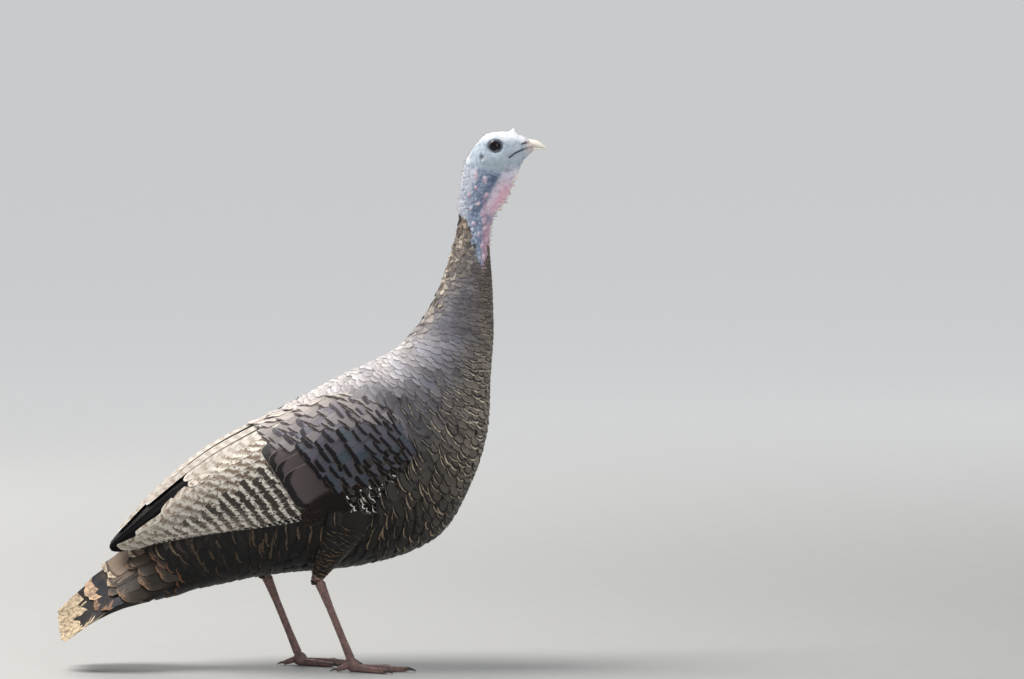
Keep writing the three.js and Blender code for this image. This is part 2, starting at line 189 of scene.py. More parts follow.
def vertices_of(mesh: bpy.types.Mesh) -> Array:
    """A mesh's vertices in millimetres."""
    co = np.empty(len(mesh.vertices) * 3, np.float32)
    mesh.vertices.foreach_get("co", co)
    return co.reshape(-1, 3) / METRE


def mesh_piece(name: str, points: Array, faces: list[Array], finish: Material | None = None,
               attributes: dict[str, Array] | None = None, bake: Array | None = None) -> Piece:
    """One mesh object from arrays.

    Args:
        name: The object's name.
        points: Its vertices in millimetres.
        faces: Arrays of vertex numbers, one array for each count of corners.
        finish: Its material.
        attributes: Values for each vertex, as paint() takes them.
        bake: A texture place for each vertex.

    Returns:
        The new object.
    """
    mesh = bpy.data.meshes.new(name)
    faces = [f for f in faces if len(f)]
    corners = np.concatenate([f.ravel() for f in faces]).astype(np.int32)
    counts = np.concatenate([np.full(len(f), f.shape[1]) for f in faces])
    mesh.vertices.add(len(points))
    mesh.vertices.foreach_set("co", (np.asarray(points, float) * METRE).ravel().astype(np.float32))
    mesh.loops.add(len(corners))
    mesh.loops.foreach_set("vertex_index", corners)
    mesh.polygons.add(len(counts))
    mesh.polygons.foreach_set("loop_start", np.concatenate([[0], np.cumsum(counts)[:-1]]).astype(np.int32))
    mesh.update(calc_edges=True)
    mesh.validate()
    mesh.shade_smooth()
    mesh.set_sharp_from_angle(angle=math.radians(CREASE))
    paint(mesh, attributes or {})
    if bake is not None:
        mesh.uv_layers.new(name="OFBake").data.foreach_set("uv", bake[corners].ravel().astype(np.float32))
    if finish:
        mesh.materials.append(finish)
    return linked(name, mesh)


def paint(mesh: bpy.types.Mesh, attributes: dict[str, Array]) -> None:
    """Writes values for each vertex.

    Args:
        mesh: Where they go.
        attributes: The values by name: one number, three for a vector, four for a colour.
    """
    kinds = {1: ("FLOAT", "value"), 3: ("FLOAT_VECTOR", "vector"), 4: ("FLOAT_COLOR", "color")}
    for name, values in attributes.items():
        values = np.asarray(values, np.float32).reshape(len(mesh.vertices), -1)
        kind, word = kinds[values.shape[1]]
        mesh.attributes.new(name, kind, "POINT").data.foreach_set(word, values.ravel())


def ring_faces(rows: int, sides: int) -> list[Array]:
    """Faces of a tube of closed rings, and of the fans that shut it.

    Args:
        rows: The number of rings.
        sides: The vertices in each ring. Two more vertices, the ends' centres, follow the last ring.

    Returns:
        The quads and the triangles.
    """
    i, j = np.meshgrid(np.arange(rows - 1), np.arange(sides), indexing="ij")
    k = (j + 1) % sides
    quads = np.stack([i * sides + j, i * sides + k, (i + 1) * sides + k, (i + 1) * sides + j], -1)
    j = np.arange(sides)
    k = (j + 1) % sides
    first, last = rows * sides, (rows - 1) * sides
    start = np.stack([np.full(sides, first), k, j], -1)
    end = np.stack([np.full(sides, first + 1), last + j, last + k], -1)
    return [quads.reshape(-1, 4), np.concatenate([start, end])]


def turned_out(points: Array, faces: list[Array]) -> list[Array]:
    """The faces, all turned over if the closed shape that they make is inside out.

    Args:
        points: The shape's vertices.
        faces: Its faces.

    Returns:
        The faces, turned outwards.
    """
    volume = 0.0
    for f in faces:
        for k in range(1, f.shape[1] - 1):
            a, b, c = points[f[:, 0]], points[f[:, k]], points[f[:, k + 1]]
            volume += np.sum(a * np.cross(b, c))
    return faces if volume > 0 else [f[:, ::-1] for f in faces]


def tube(rings: Array) -> tuple[Array, list[Array]]:
    """A closed tube.

    Args:
        rings: The rings' points, as (rows, sides, 3).

    Returns:
        The vertices and the faces, turned outwards.
    """
    ends = np.stack([rings[0].mean(0), rings[-1].mean(0)])
    points = np.concatenate([rings.reshape(-1, 3), ends])
    return points, turned_out(points, ring_faces(*rings.shape[:2]))


def joined(parts: list[tuple[Array, list[Array]]]) -> tuple[Array, list[Array]]:
    """Several shapes as one.

    Args:
        parts: The vertices and the faces of each.

    Returns:
        All vertices, and the quads and triangles over them.
    """
    points, quads, triangles, start = [], [], [], 0
    for shape, faces in parts:
        for f in faces:
            (quads if f.shape[1] == 4 else triangles).append(f + start)
        points.append(shape)
        start += len(shape)
    groups = [np.concatenate(g) for g in (quads, triangles) if g]
    return np.concatenate(points), groups


class Sheet:
    """A fine grid over one surface, to find points and outward directions at any place on it."""

    def __init__(self, points: Array, u: Pair, v: Pair, outward: int = 1, closed: bool = False) -> None:
        """Keeps the grid, its slopes and its outward directions.

        Args:
            points: The grid as (columns along u, rows along v, 3).
            u: The first and last place along u.
            v: The first and last place along v.
            outward: 1 where the slope along u crossed with the slope along v points out, or else -1.
            closed: Whether the grid runs round, so that the last column is the first again.
        """
        self.u, self.v, self.closed = u, v, closed
        du = (u[1] - u[0]) / (len(points) - 1)
        dv = (v[1] - v[0]) / (points.shape[1] - 1)
        if closed:
            wrapped = np.concatenate([points[-2:-1], points, points[1:2]])
            slope_u = (wrapped[2:] - wrapped[:-2]) / (2 * du)
        else:
            slope_u = np.gradient(points, du, axis=0)
        slope_v = np.gradient(points, dv, axis=1)
        out = outward * unit(np.cross(slope_u, slope_v))
        self.grid = np.concatenate([points, out, slope_u, slope_v], axis=-1)

    @classmethod
    def over(cls, form: Callable, u: tuple, v: tuple, outward: int = 1, closed: bool = False) -> "Sheet":
        """The sheet of a form that gives points at (u, v); u and v are (first, last, count)."""
        points = form(*np.meshgrid(np.linspace(*u), np.linspace(*v), indexing="ij"))
        return cls(points, u[:2], v[:2], outward, closed)

    def read(self, u: Array, v: Array) -> tuple[Array, Array, Array, Array]:
        """Reads the surface.

        Args:
            u: Places along u.
            v: Places along v.

        Returns:
            Points, outward directions, and the slopes along u and v. Past an edge it goes straight on.
        """
        columns, rows = self.grid.shape[0] - 1, self.grid.shape[1] - 1
        x = (np.asarray(u, float) - self.u[0]) / (self.u[1] - self.u[0])
        x = (x % 1 if self.closed else x) * columns
        y = (np.asarray(v, float) - self.v[0]) / (self.v[1] - self.v[0]) * rows
        i = np.clip(np.floor(x), 0, columns - 1).astype(int)
        j = np.clip(np.floor(y), 0, rows - 1).astype(int)
        s, t = (x - i)[..., None], (y - j)[..., None]
        g = self.grid
        found = mix(mix(g[i, j], g[i + 1, j], s), mix(g[i, j + 1], g[i + 1, j + 1], s), t)
        return found[..., :3], unit(found[..., 3:6]), found[..., 6:9], found[..., 9:12]

    def move(self, u: Array, v: Array, step: Array) -> tuple[Array, Array]:
        """The change in u and v that makes a step along the surface.

        Args:
            u, v: Where it starts.
            step: The step in millimetres.

        Returns:
            The changes in u and in v.
        """
        _, _, a, b = self.read(u, v)
        aa, bb, ab = (np.sum(p * q, -1) for p, q in ((a, a), (b, b), (a, b)))
        ea, eb = np.sum(a * step, -1), np.sum(b * step, -1)
        size = np.maximum(aa * bb - ab * ab, 1e-6)
        return (ea * bb - eb * ab) / size, (eb * aa - ea * ab) / size


# ------------------------------------------------------------------ the hen's form

@dataclass(frozen=True)
class BodyLine:
    """The body from the bill's base, over head and neck, to the rump, in millimetres.

    Attributes:
        slices: Slices across it: the x and z of the upper or rear edge, those of the lower or front edge,
            the half width, how far up the widest place lies, and how narrow the lower half is.
    """
    slices: Rows = (
        (269, 625.4, 275, 615.6, 6, 0.5, 1), (259, 630.6, 271, 611.6, 8.4, 0.5, 1),
        (245, 634.6, 267, 608, 11.6, 0.5, 1), (229.5, 635.2, 264, 605, 14.6, 0.5, 1),
        (214, 630, 261, 602, 16.2, 0.5, 1), (196, 607, 256, 592, 16.6, 0.55, 1.1),
        (188.5, 582, 249.5, 577, 15.8, 0.62, 1.35), (185.5, 555, 239.5, 554.5, 14.8, 0.66, 1.7),
        (184, 538, 227, 538, 14.6, 0.6, 1.3), (181, 515, 220.8, 514, 16.5, 0.5, 1),
        (163.5, 458, 224.6, 454, 27, 0.5, 1), (144, 419, 226, 398, 39, 0.5, 1),
        (106, 378, 222.4, 345, 58, 0.52, 1), (47, 349, 219, 283, 80, 0.58, 1),
        (-8, 319, 199, 219, 89, 0.62, 1.1), (-66, 284, 160, 157, 88, 0.62, 1.15),
        (-116, 246, 82, 125, 79, 0.6, 1.1), (-156, 209, -34, 112, 60, 0.56, 1),
        (-176, 178, -112, 97, 42, 0.52, 1), (-192, 152, -154, 88, 27, 0.5, 1))

    def ring(self, u: Array, v: Array) -> Array:
        """Points on the coat's outside.

        Args:
            u: Shares of the way round from the spine by the left side.
            v: Places from bill to rump, counted in slices.

        Returns:
            The points.
        """
        bx, bz, fx, fz, half, wide, keel = np.moveaxis(through(self.slices, v), -1, 0)
        c, s = np.cos(2 * math.pi * u), np.sin(2 * math.pi * u)
        reach = c * np.where(c > 0, 1 - wide, wide)
        y = half * np.sign(s) * np.abs(s) ** np.where(c > 0, 1, keel)
        return np.stack([mix(fx, bx, wide) + reach * (bx - fx), y,
                         mix(fz, bz, wide) + reach * (bz - fz)], -1)

    def sheet(self) -> Sheet:
        """The whole outside of the coat as a sheet."""
        return Sheet.over(self.ring, (0, 1, 193), (0, len(self.slices) - 1, 457), closed=True)


@dataclass(frozen=True)
class WingForm:
    """A folded wing's outside: ribs from shoulder to tip, each its top, its bottom and its bow sideways."""
    ribs: Rows = (
        (158, 46, 292, 160, 54, 270, 72), (104, 36, 338, 130, 78, 238, 110),
        (42, 26, 336, 84, 84, 200, 122), (-12, 18, 314, 19, 86, 184, 124),
        (-64, 12, 291, -40, 83, 176, 119), (-115, 8, 263, -97, 73, 169, 104),
        (-162, 7, 225, -150, 59, 159, 80), (-206, 8, 179, -198, 35, 149, 45),
        (-232, 13, 147, -231, 18, 143, 17))
    thick_at_shoulder: float = 26
    thick_at_tip: float = 8

    def outside(self, across: Array, along: Array, side: int) -> Array:
        """Points on the outside.

        Args:
            across: Places from the top edge (0) to the bottom (1).
            along: Places from shoulder (0) to tip (1).
            side: The sign of Y.

        Returns:
            The points.
        """
        tx, ty, tz, bx, by, bz, bow = np.moveaxis(through(self.ribs, along * (len(self.ribs) - 1)), -1, 0)
        corners = [np.stack(p, -1) for p in (
            (tx, ty, tz), (mix(tx, bx, 0.3), bow, mix(tz, bz, 0.02)),
            (mix(tx, bx, 0.7), bow, mix(tz, bz, 0.62)), (bx, by, bz))]
        t = across[..., None]
        weights = ((1 - t) ** 3, 3 * t * (1 - t) ** 2, 3 * t * t * (1 - t), t ** 3)
        return sum(w * p for w, p in zip(weights, corners)) * np.array([1, side, 1])

    def sheet(self, side: int) -> Sheet:
        """The wing's outside as a sheet."""
        return Sheet.over(lambda u, v: self.outside(u, v, side), (0, 1, 81), (0, 1, 193), side)


@dataclass(frozen=True)
class TailForm:
    """The drooping, half-closed tail: a fan from one root, with values from the middle feather outwards."""
    root: Pair = (-118, 230)
    pitch: tuple[float, ...] = (43, 44.5, 40, 31)
    length: tuple[float, ...] = (234.4, 238, 206, 158)
    drop: tuple[float, ...] = (0, 26, 58, 91)
    half_at_root: float = 24
    half_at_end: float = 54

    def top(self, across: Array, along: Array) -> Array:
        """Points on the fan's upper face.

        Args:
            across: Places from right (-1) to left (1).
            along: Places from root (0) to tip (1).

        Returns:
            The points.
        """
        order = 3 * np.abs(across)
        pitch = np.radians(through(self.pitch, order))
        reach = along * through(self.length, order)
        y = mix(self.half_at_root, self.half_at_end, along) * np.sin(across * math.pi / 2.1)
        return np.stack([self.root[0] - reach * np.cos(pitch), y,
                         self.root[1] - through(self.drop, order) - reach * np.sin(pitch)], -1)

    def sheet(self) -> Sheet:
        """The fan's upper face as a sheet."""
        return Sheet.over(self.top, (-1, 1, 97), (0, 1, 65))


@dataclass(frozen=True)
class UndertailForm:
    """The soft wedge of coverts under the tail, as sections of x, top, bottom and half width."""
    sections: Rows = (
        (-126, 170, 93, 34), (-156, 152, 85, 36), (-184, 132, 80, 34), (-208, 112, 75, 29),
        (-228, 92, 68, 20), (-240, 78, 64, 8))

    def ring(self, u: Array, v: Array) -> Array:
        """Points on the wedge.

        Args:
            u: Shares of the way round from its top.
            v: Places from the rump to its end, counted in sections.

        Returns:
            The points.
        """
        x, top, bottom, half = np.moveaxis(through(self.sections, v), -1, 0)
        c, s = np.cos(2 * math.pi * u), np.sin(2 * math.pi * u)
        return np.stack([x, half * s, (top + bottom) / 2 + c * (top - bottom) / 2], -1)

    def sheet(self) -> Sheet:
        """The wedge's outside as a sheet."""
        return Sheet.over(self.ring, (0, 1, 97), (0, len(self.sections) - 1, 61), closed=True)


def limb(path: Array, radii: Array, flat: float, sides: int, across: Array) -> Array:
    """Rings round a limb.

    Args:
        path: The middle of each ring.
        radii: Each ring's radius.
        flat: The second radius, as a share of the first.
        sides: The points in a ring.
        across: The direction, square to the limb, that the full radius points in.

    Returns:
        The rings as (rows, sides, 3).
    """
    run = unit(np.gradient(path, axis=0))
    side = unit(across - np.sum(run * across, -1, keepdims=True) * run)
    up = np.cross(run, side)
    angle = np.linspace(0, 2 * math.pi, sides, endpoint=False)
    return (path[:, None] + radii[:, None, None] * (np.cos(angle)[None, :, None] * side[:, None]
            + flat * np.sin(angle)[None, :, None] * up[:, None]))


@dataclass(frozen=True)
class Toe:
    """One toe: its heading outwards from straight ahead in degrees, its length, radii and claw."""
    heading: float
    length: float
    root: float
    tip: float
    claw: float


TOES = {"inner": Toe(-34, 47, 5.2, 3.4, 13), "middle": Toe(2, 64, 5.6, 3.5, 14),
        "outer": Toe(36, 49, 5.2, 3.4, 13), "hind": Toe(176, 20, 4.2, 3.0, 11)}


@dataclass(frozen=True)
class LegForm:
    """One leg, standing: where its ball, hock and knee are, and how thick it is between them."""
    side: int
    across: float = 40
    left_ahead: float = -4
    right_ahead: float = 60
    ball_height: float = 8
    hock: Pair = (-42, 112)
    knee: tuple[float, float, float] = (54, 54, 222)
    lift: float = 0.9
    short_toe: float = 30
    shank_stops: Rows = (
        (0.0, 6.2), (0.045, 5.3), (0.1, 4.6), (0.3, 3.9), (0.65, 4.0), (0.86, 5.2), (0.97, 6.3),
        (1.05, 5.6), (1.1, 4.2))
    thigh_stops: Rows = (
        (-0.04, 6.8), (0.04, 10), (0.14, 14.5), (0.27, 20.5), (0.44, 28.5), (0.62, 35.5), (0.8, 38),
        (0.98, 33))

    @property
    def points(self) -> tuple[Array, Array, Array]:
        """The leg's joints.

        Returns:
            The ball of the foot, the hock and the knee.
        """
        x, y = self.left_ahead if self.side > 0 else self.right_ahead, self.side * self.across
        hock = np.array([x + self.hock[0], y, self.hock[1]])
        return (np.array([x, y, self.ball_height]), hock,
                np.array([hock[0] + self.knee[0], self.side * self.knee[1], self.knee[2]]))

    def toe_line(self, toe: Toe) -> tuple[Array, Array]:
        """A toe's middle line.

        Args:
            toe: The toe.

        Returns:
            The line's two ends.
        """
        ball, heading, hind = self.points[0], math.radians(toe.heading), toe.length < self.short_toe
        run = toe.length * np.array([math.cos(heading), self.side * math.sin(heading)])
        root = np.array([ball[0] - 2 * hind, ball[1], 9 if hind else toe.root - self.lift])
        return root, np.array([*(ball[:2] + run), toe.tip - self.lift])


# -------------------------------------------------------------------- finishes

class Wire:
    """One output of a shader node, to be reckoned with like a number."""

    def __init__(self, web: "Web", socket: bpy.types.NodeSocket) -> None:
        """Keeps its web and its socket."""
        self.web, self.socket = web, socket

    def __add__(self, other: Number) -> "Wire":
        """The sum."""
        return self.web.sum("ADD", self, other)

    def __sub__(self, other: Number) -> "Wire":
        """What is left when the other is taken away."""
        return self.web.sum("SUBTRACT", self, other)

    def __rsub__(self, other: Number) -> "Wire":
        """What is left of the other."""
        return self.web.sum("SUBTRACT", other, self)

    def __mul__(self, other: Number) -> "Wire":
        """The product."""
        return self.web.sum("MULTIPLY", self, other)

    __radd__, __rmul__ = __add__, __mul__

    def rise(self, low: Number, high: Number) -> "Wire":
        """An S-shaped rise from 0 at low to 1 at high."""
        return self.web.wire("MapRange", {"Value": self, "From Min": low, "From Max": high},
                             interpolation_type="SMOOTHSTEP")

    def between(self, first: Number, second: Number) -> "Wire":
        """The number that lies this share of the way between two others."""
        return self.web.wire("Mix", {0: self, 2: first, 3: second}, data_type="FLOAT")


class Web:
    """Short ways to place and join shader nodes in one tree."""

    def __init__(self, tree: bpy.types.NodeTree) -> None:
        """Keeps the tree."""
        self.tree = tree

    def node(self, kind: str, inputs: dict | None = None, **settings: object) -> bpy.types.Node:
        """Adds a node.

        Args:
            kind: Its type; a shader node's goes without the usual prefix.
            inputs: A value or a wire for each input, by name or number.
            **settings: Its properties.

        Returns:
            The node.
        """
        made = self.tree.nodes.new(kind if "Node" in kind else "ShaderNode" + kind)
        for name, value in settings.items():
            setattr(made, name, value)
        for key, value in (inputs or {}).items():
            self.put(made.inputs[key], value)
        return made

    def put(self, socket: bpy.types.NodeSocket, value: object) -> None:
        """Fills an input.

        Args:
            socket: The input.
            value: A wire to join to it, or its own value.
        """
        if isinstance(value, Wire):
            self.tree.links.new(value.socket, socket)
        else:
            socket.default_value = (*value[:3], 1) if socket.type == "RGBA" else value

    def wires(self, kind: str, inputs: dict | None = None, **settings: object) -> dict[str, Wire]:
        """Adds a node as node() does, and gives its outputs by name."""
        outputs = self.node(kind, inputs, **settings).outputs
        return {s.name: Wire(self, s) for s in outputs if s.enabled and s.name}

    def wire(self, kind: str, inputs: dict | None = None, **settings: object) -> Wire:
        """Adds a node as node() does, and gives its first output."""
        return next(iter(self.wires(kind, inputs, **settings).values()))

    def sum(self, operation: str, a: Number, b: Number = 0.0) -> Wire:
        """One Math node's result."""
        return self.wire("Math", {0: a, 1: b}, operation=operation)

    def blend(self, share: Number, a: "Array | Wire", b: "Array | Wire", way: str = "MIX") -> Wire:
        """A colour that lies a share of the way from a to b."""
        return self.wire("Mix", {0: share, 6: a, 7: b}, data_type="RGBA", blend_type=way, clamp_factor=True)

    def grey(self, value: Wire) -> Wire:
        """A colour with one value in all three channels."""
        return self.wire("CombineColor", {0: value, 1: value, 2: value})

    def value(self, name: str, output: str = "Fac") -> Wire:
        """An attribute of the mesh."""
        return self.wires("Attribute", attribute_name=name)[output]

    def noise(self, place: Wire, scale: float, detail: float = 3, rough: float = 0.55) -> Wire:
        """Soft noise from 0 to 1."""
        return self.wire("TexNoise", {"Vector": place, "Scale": scale, "Detail": detail, "Roughness": rough})

    def place(self) -> Wire:
        """The surface's own place in metres."""
        return self.wires("TexCoord")["Object"]

    def split(self, vector: Wire) -> list[Wire]:
        """A vector's three values."""
        return list(self.wires("SeparateXYZ", {0: vector}).values())

    def given(self, kind: str, *names: str) -> list[Wire]:
        """Adds inputs of one kind to a group, and gives them as wires."""
        for name in names:
            self.tree.interface.new_socket(name, in_out="INPUT", socket_type="NodeSocket" + kind)
        return [wire for name, wire in self.wires("NodeGroupInput").items() if name in names]

    def close(self, **outputs: Wire) -> bpy.types.NodeTree:
        """Closes a group.

        Args:
            **outputs: Its outputs.

        Returns:
            The group.
        """
        for label in outputs:
            kind = label if label in ("Color", "Geometry") else "Float"
            self.tree.interface.new_socket(label, in_out="OUTPUT", socket_type="NodeSocket" + kind)
        self.node("NodeGroupOutput", outputs)
        return self.tree


@cache
def vane_group() -> bpy.types.NodeTree:
    """The markings of one feather: margin, dark band, broken bars, mottling, barbs and shaft, and painted
    shade that darkens it from the tip towards its covered base.

    Returns:
        The group, with outputs Color, Height and Gloss.
    """
    web = Web(bpy.data.node_groups.new("vane_markings", "ShaderNodeTree"))
    [vane] = web.given("Vector", "Vane")
    ground, edge, dark = web.given("Color", "Ground", "Edge", "Dark")
    margin_width, band_width, luck = web.given("Float", "Margin", "Band", "Luck")
    period, share, bars = web.given("Float", "Period", "Share", "Bars")
    rounding, mottle, shaft_share, outline, fade, wear = web.given(
        "Float", "Round", "Mottle", "Shaft", "Outline", "Fade", "Worn")
    across, back, rim = web.split(vane)
    reach = web.sum("ABSOLUTE", across)
    spot = web.wire("CombineXYZ", {0: across, 1: back, 2: luck * 73.0})
    coarse, fine = web.noise(spot, 0.22, 2), web.noise(spot, 0.9, 3, 0.65)
    wander, grain = coarse - 0.5, fine - 0.5
    worn = back.rise(130.0, 20.0) * wear * period.rise(10.0, 12.0)
    rimmed = worn * 2.2 + margin_width
    depth = rounding.between(back, rim)
    margin = 1.0 - worn.between(grain * 1.3 + depth, rim).rise(rimmed - 0.35, rimmed + 0.25)
    margin = margin * margin_width.rise(0.0, 0.3) * (coarse.rise(0.34, 0.6) * 0.6 + 0.4)
    end = margin_width + band_width
    band = (1.0 - (wander * 3.0 + depth).rise(end * 0.86, end * 1.14)) * band_width.rise(0.0, 0.5)
    soft = period.rise(13.2, 15.0)  # the broadest bars are the palest quills' chevrons
    phase = web.sum("DIVIDE", reach * (soft * -0.75 - 0.35) + back, period) + luck
    phase = grain * 0.05 + (wander * (soft * 0.3 + (worn * 0.6 + 0.55)) + phase)
    swing = web.sum("ABSOLUTE", web.sum("FRACT", phase) - 0.5)
    half = (worn * 0.22 + share) * 0.5
    bar = 1.0 - swing.rise(half * (soft * -0.4 + 0.7), half * (soft * 0.35 + 1.35))
    bar = bar * (coarse * 0.85 + fine * 0.15).rise(0.34, 0.52)
    bleached = web.noise(spot, 0.12, 2).rise(0.44, 0.64) * (worn * 0.8)
    bar = web.sum("MINIMUM", web.sum("MAXIMUM", bar, bleached) * bars, 1.0)
    barb = web.sum("SINE", (reach * 1.3 + back) * 5.2)
    tone = web.grey(barb * 0.07 + (grain * 2.0 * mottle + 1.0))
    # painted shade: lighter at the tip and darker further back, where the feather above shades the vane
    shade = web.grey(back.rise(fade * 0.25, fade).between(1.08, 0.8))
    colour = web.blend(worn * (coarse * 0.9 + 0.2), ground, linear(130, 111, 92))
    colour = web.blend(1.0, colour, web.blend(1.0, tone, shade, "MULTIPLY"), "MULTIPLY")
    colour = web.blend(bar * (worn * -0.2 + 1.0), colour, edge)
    colour = web.blend(band * 0.94, colour, dark)
    colour = web.blend(margin * 0.92, colour, edge)
    colour = web.blend((1.0 - rim.rise(0.3, 1.2)) * outline, colour, edge)
    shaft = (1.0 - reach.rise(0.15, 0.7)) * back.rise(1.0, 9.0)
    return web.close(Color=web.blend(shaft * shaft_share, colour, dark),
                     Height=fine * 0.35 + (shaft * 0.5 + barb * 0.16), Gloss=fine * 0.25 + margin * 0.2)


@cache
def pebble_group() -> bpy.types.NodeTree:
    """Small rounded cells, as on bare skin and between scales.

    Returns:
        The group, with outputs Height and Mask.
    """
    web = Web(bpy.data.node_groups.new("pebbles", "ShaderNodeTree"))
    [place] = web.given("Vector", "Place")
    scale, sharp = web.given("Float", "Scale", "Sharp")
    drift = web.wires("TexNoise", {"Vector": place, "Scale": 260.0})["Color"]
    drift = web.wire("VectorMath", {0: drift, "Scale": 0.0012}, operation="SCALE")
    stirred = web.wire("VectorMath", {0: place, 1: drift}, operation="ADD")
    cells = web.wire("TexVoronoi", {"Vector": stirred, "Scale": scale}, feature="DISTANCE_TO_EDGE")
    return web.close(Height=cells.rise(0.0, sharp), Mask=cells.rise(0.0, 0.12))


class Surface(Web):
    """The web of a new material with a Principled surface."""

    def __init__(self, name: str, **sockets: object) -> None:
        """Starts the material.

        Args:
            name: Its name.
            **sockets: Values for the surface's own sockets. Underscores stand for spaces.
        """
        self.material = bpy.data.materials.new(name)
        self.material.use_nodes = True
        super().__init__(self.material.node_tree)
        self.tree.nodes.clear()
        self.shader = self.node("BsdfPrincipled", {k.replace("_", " "): v for k, v in sockets.items()})
        self.node("OutputMaterial", {0: Wire(self, self.shader.outputs[0])})

    def done(self, colour: Wire, rough: Wire | None = None, height: Wire | None = None,
             distance: float = 0.0003, strength: float = 1.0) -> Material:
        """Feeds the surface.

        Args:
            colour: Its colour.
            rough: Its roughness.
            height: Its relief, in parts of a distance.
            distance: That distance in metres.
            strength: How strongly the relief shows.

        Returns:
            The finished material.
        """
        relief = height and self.wire("Bump", {"Height": height, "Distance": distance, "Strength": strength})
        for socket, value in (("Base Color", colour), ("Roughness", rough), ("Normal", relief)):
            if value:
                self.put(self.shader.inputs[socket], value)
        return self.material


@dataclass(frozen=True)
class PlumageFinish:
    """Feathers: each vane's colours and marks come from the mesh, their drawing from the shared markings."""
    name: str
    rounding: float = 1.0
    mottle: float = 0.3
    shaft: float = 0.5
    outline: float = 0.0
    # how far back from the tip the painted shade deepens, in millimetres
    fade: float = 9.0
    worn: float = 0.0
    rough: float = 0.5
    metal: float = 0.06
    specular: float = 0.24
    sheen: float = 0.04

    def make(self) -> Material:
        """Makes the material.

        Returns:
            The material.
        """
        web = Surface(self.name, Metallic=self.metal, Specular_IOR_Level=self.specular,
                      Sheen_Weight=self.sheen, Sheen_Roughness=0.5)
        margin, band, luck = web.split(web.value("marks", "Vector"))
        period, share, bars = web.split(web.value("bars", "Vector"))
        tints = {name.title(): web.value(name, "Color") for name in ("ground", "edge", "dark")}
        vane = web.wires("Group", tints | {
            "Vane": web.value("vane", "Vector"), "Margin": margin, "Band": band, "Luck": luck,
            "Period": period, "Share": share, "Bars": bars, "Round": self.rounding, "Mottle": self.mottle,
            "Shaft": self.shaft, "Outline": self.outline, "Fade": self.fade, "Worn": self.worn},
            node_tree=vane_group())
        return web.done(vane["Color"], vane["Gloss"] + (self.rough - 0.12), vane["Height"], 0.0003, 0.6)


@dataclass(frozen=True)
class SkinFinish:
    """Bare skin: the mesh carries its tint, and this adds pores, cells, veins and a moist look."""
    name: str = "bare_skin"
    cell: float = 900.0

    def make(self) -> Material:
        """Makes the material.

        Returns:
            The material.
        """
        web = Surface(self.name, Subsurface_Weight=0.12, Subsurface_Scale=0.002,
                      Subsurface_Radius=(1.0, 0.45, 0.35), Specular_IOR_Level=0.35)
        place, wart = web.place(), web.value("warty")
        cells = web.wires("Group", {0: place, 1: self.cell, 2: 0.32}, node_tree=pebble_group())
        soft, fine = web.noise(place, 190.0, 4, 0.6), web.noise(place, 1500.0, 2)
        colour = web.blend(soft.rise(0.5, 0.72) * 0.32, web.value("tint", "Color"), linear(232, 230, 232))
        colour = web.blend(soft.rise(0.52, 0.3) * 0.42, colour, linear(112, 128, 156))
        colour = web.blend((1.0 - cells["Mask"]) * (wart * 0.4), colour, linear(84, 92, 112))
        return web.done(colour, fine * 0.22 + 0.42, cells["Height"] * (wart * 0.85 + 0.12) + fine * 0.25,
                         0.00045, 0.8)


@dataclass(frozen=True)
class ScaleFinish:
    """Horny scales of the legs: dull pinkish grey with darker edges and fine wear."""
    name: str
    top: Tint = (150, 116, 108)
    low: Tint = (112, 92, 90)
    cell: float = 520.0

    def make(self) -> Material:
        """Makes the material.

        Returns:
            The material.
        """
        web = Surface(self.name, Specular_IOR_Level=0.45)
        place = web.place()
        cells = web.wires("Group", {0: place, 1: self.cell, 2: 0.3}, node_tree=pebble_group())
        fine = web.noise(place, 1800.0, 2)
        colour = web.blend(web.noise(place, 160.0, 4).rise(0.3, 0.7), linear(*self.top), linear(*self.low))
        colour = web.blend((1.0 - cells["Mask"]) * 0.55, colour, linear(62, 50, 48))
        return web.done(colour, fine * 0.3 + 0.38, fine * 0.3 + cells["Height"], 0.0005, 0.7)


@dataclass(frozen=True)
class HornFinish:
    """Horn of bill and claws: streaks along its length, paler or darker towards the tip."""
    name: str
    root: Tint
    tip: Tint
    rough: float = 0.3

    def make(self) -> Material:
        """Makes the material. The mesh's "along" runs from 0 at the root to 1 at the tip.

        Returns:
            The material.
        """
        web = Surface(self.name, Specular_IOR_Level=0.5, Subsurface_Weight=0.08, Subsurface_Scale=0.001,
                      Coat_Weight=0.15, Coat_Roughness=0.25)
        place = web.place()
        streak = web.noise(web.wire("Mapping", {"Vector": place, "Scale": (0.25, 1.0, 1.0)}), 900.0, 4, 0.6)
        far = web.noise(place, 220.0, 3) * 0.3 + web.value("along")
        colour = web.blend(far.rise(0.15, 1.05), linear(*self.root), linear(*self.tip))
        colour = web.blend(streak.rise(0.5, 0.72) * 0.3, colour, linear(96, 76, 66))
        return web.done(colour, streak * 0.25 + self.rough, streak, 0.00025, 0.5)


@dataclass(frozen=True)
class EyeFinish:
    """A dark brown eye under a wet, clear surface."""
    name: str = "eye"

    def make(self) -> Material:
        """Makes the material. The mesh's "gaze" runs from 0 at the pupil's middle to 1 at the ball's rim.

        Returns:
            The material.
        """
        web = Surface(self.name, Roughness=0.12, Specular_IOR_Level=0.12, Coat_Weight=0.22,
                      Coat_Roughness=0.02)
        gaze, fibre = web.value("gaze"), web.noise(web.place(), 1700.0, 3)
        colour = web.blend(gaze.rise(0.66, 0.8), web.blend(fibre, linear(16, 11, 9), linear(34, 21, 15)),
                           linear(10, 8, 8))
        pupil = web.blend(1.0 - gaze.rise(0.36, 0.42), colour, linear(4, 3, 4))
        return web.done(pupil, None, fibre, 0.00002, 0.2)


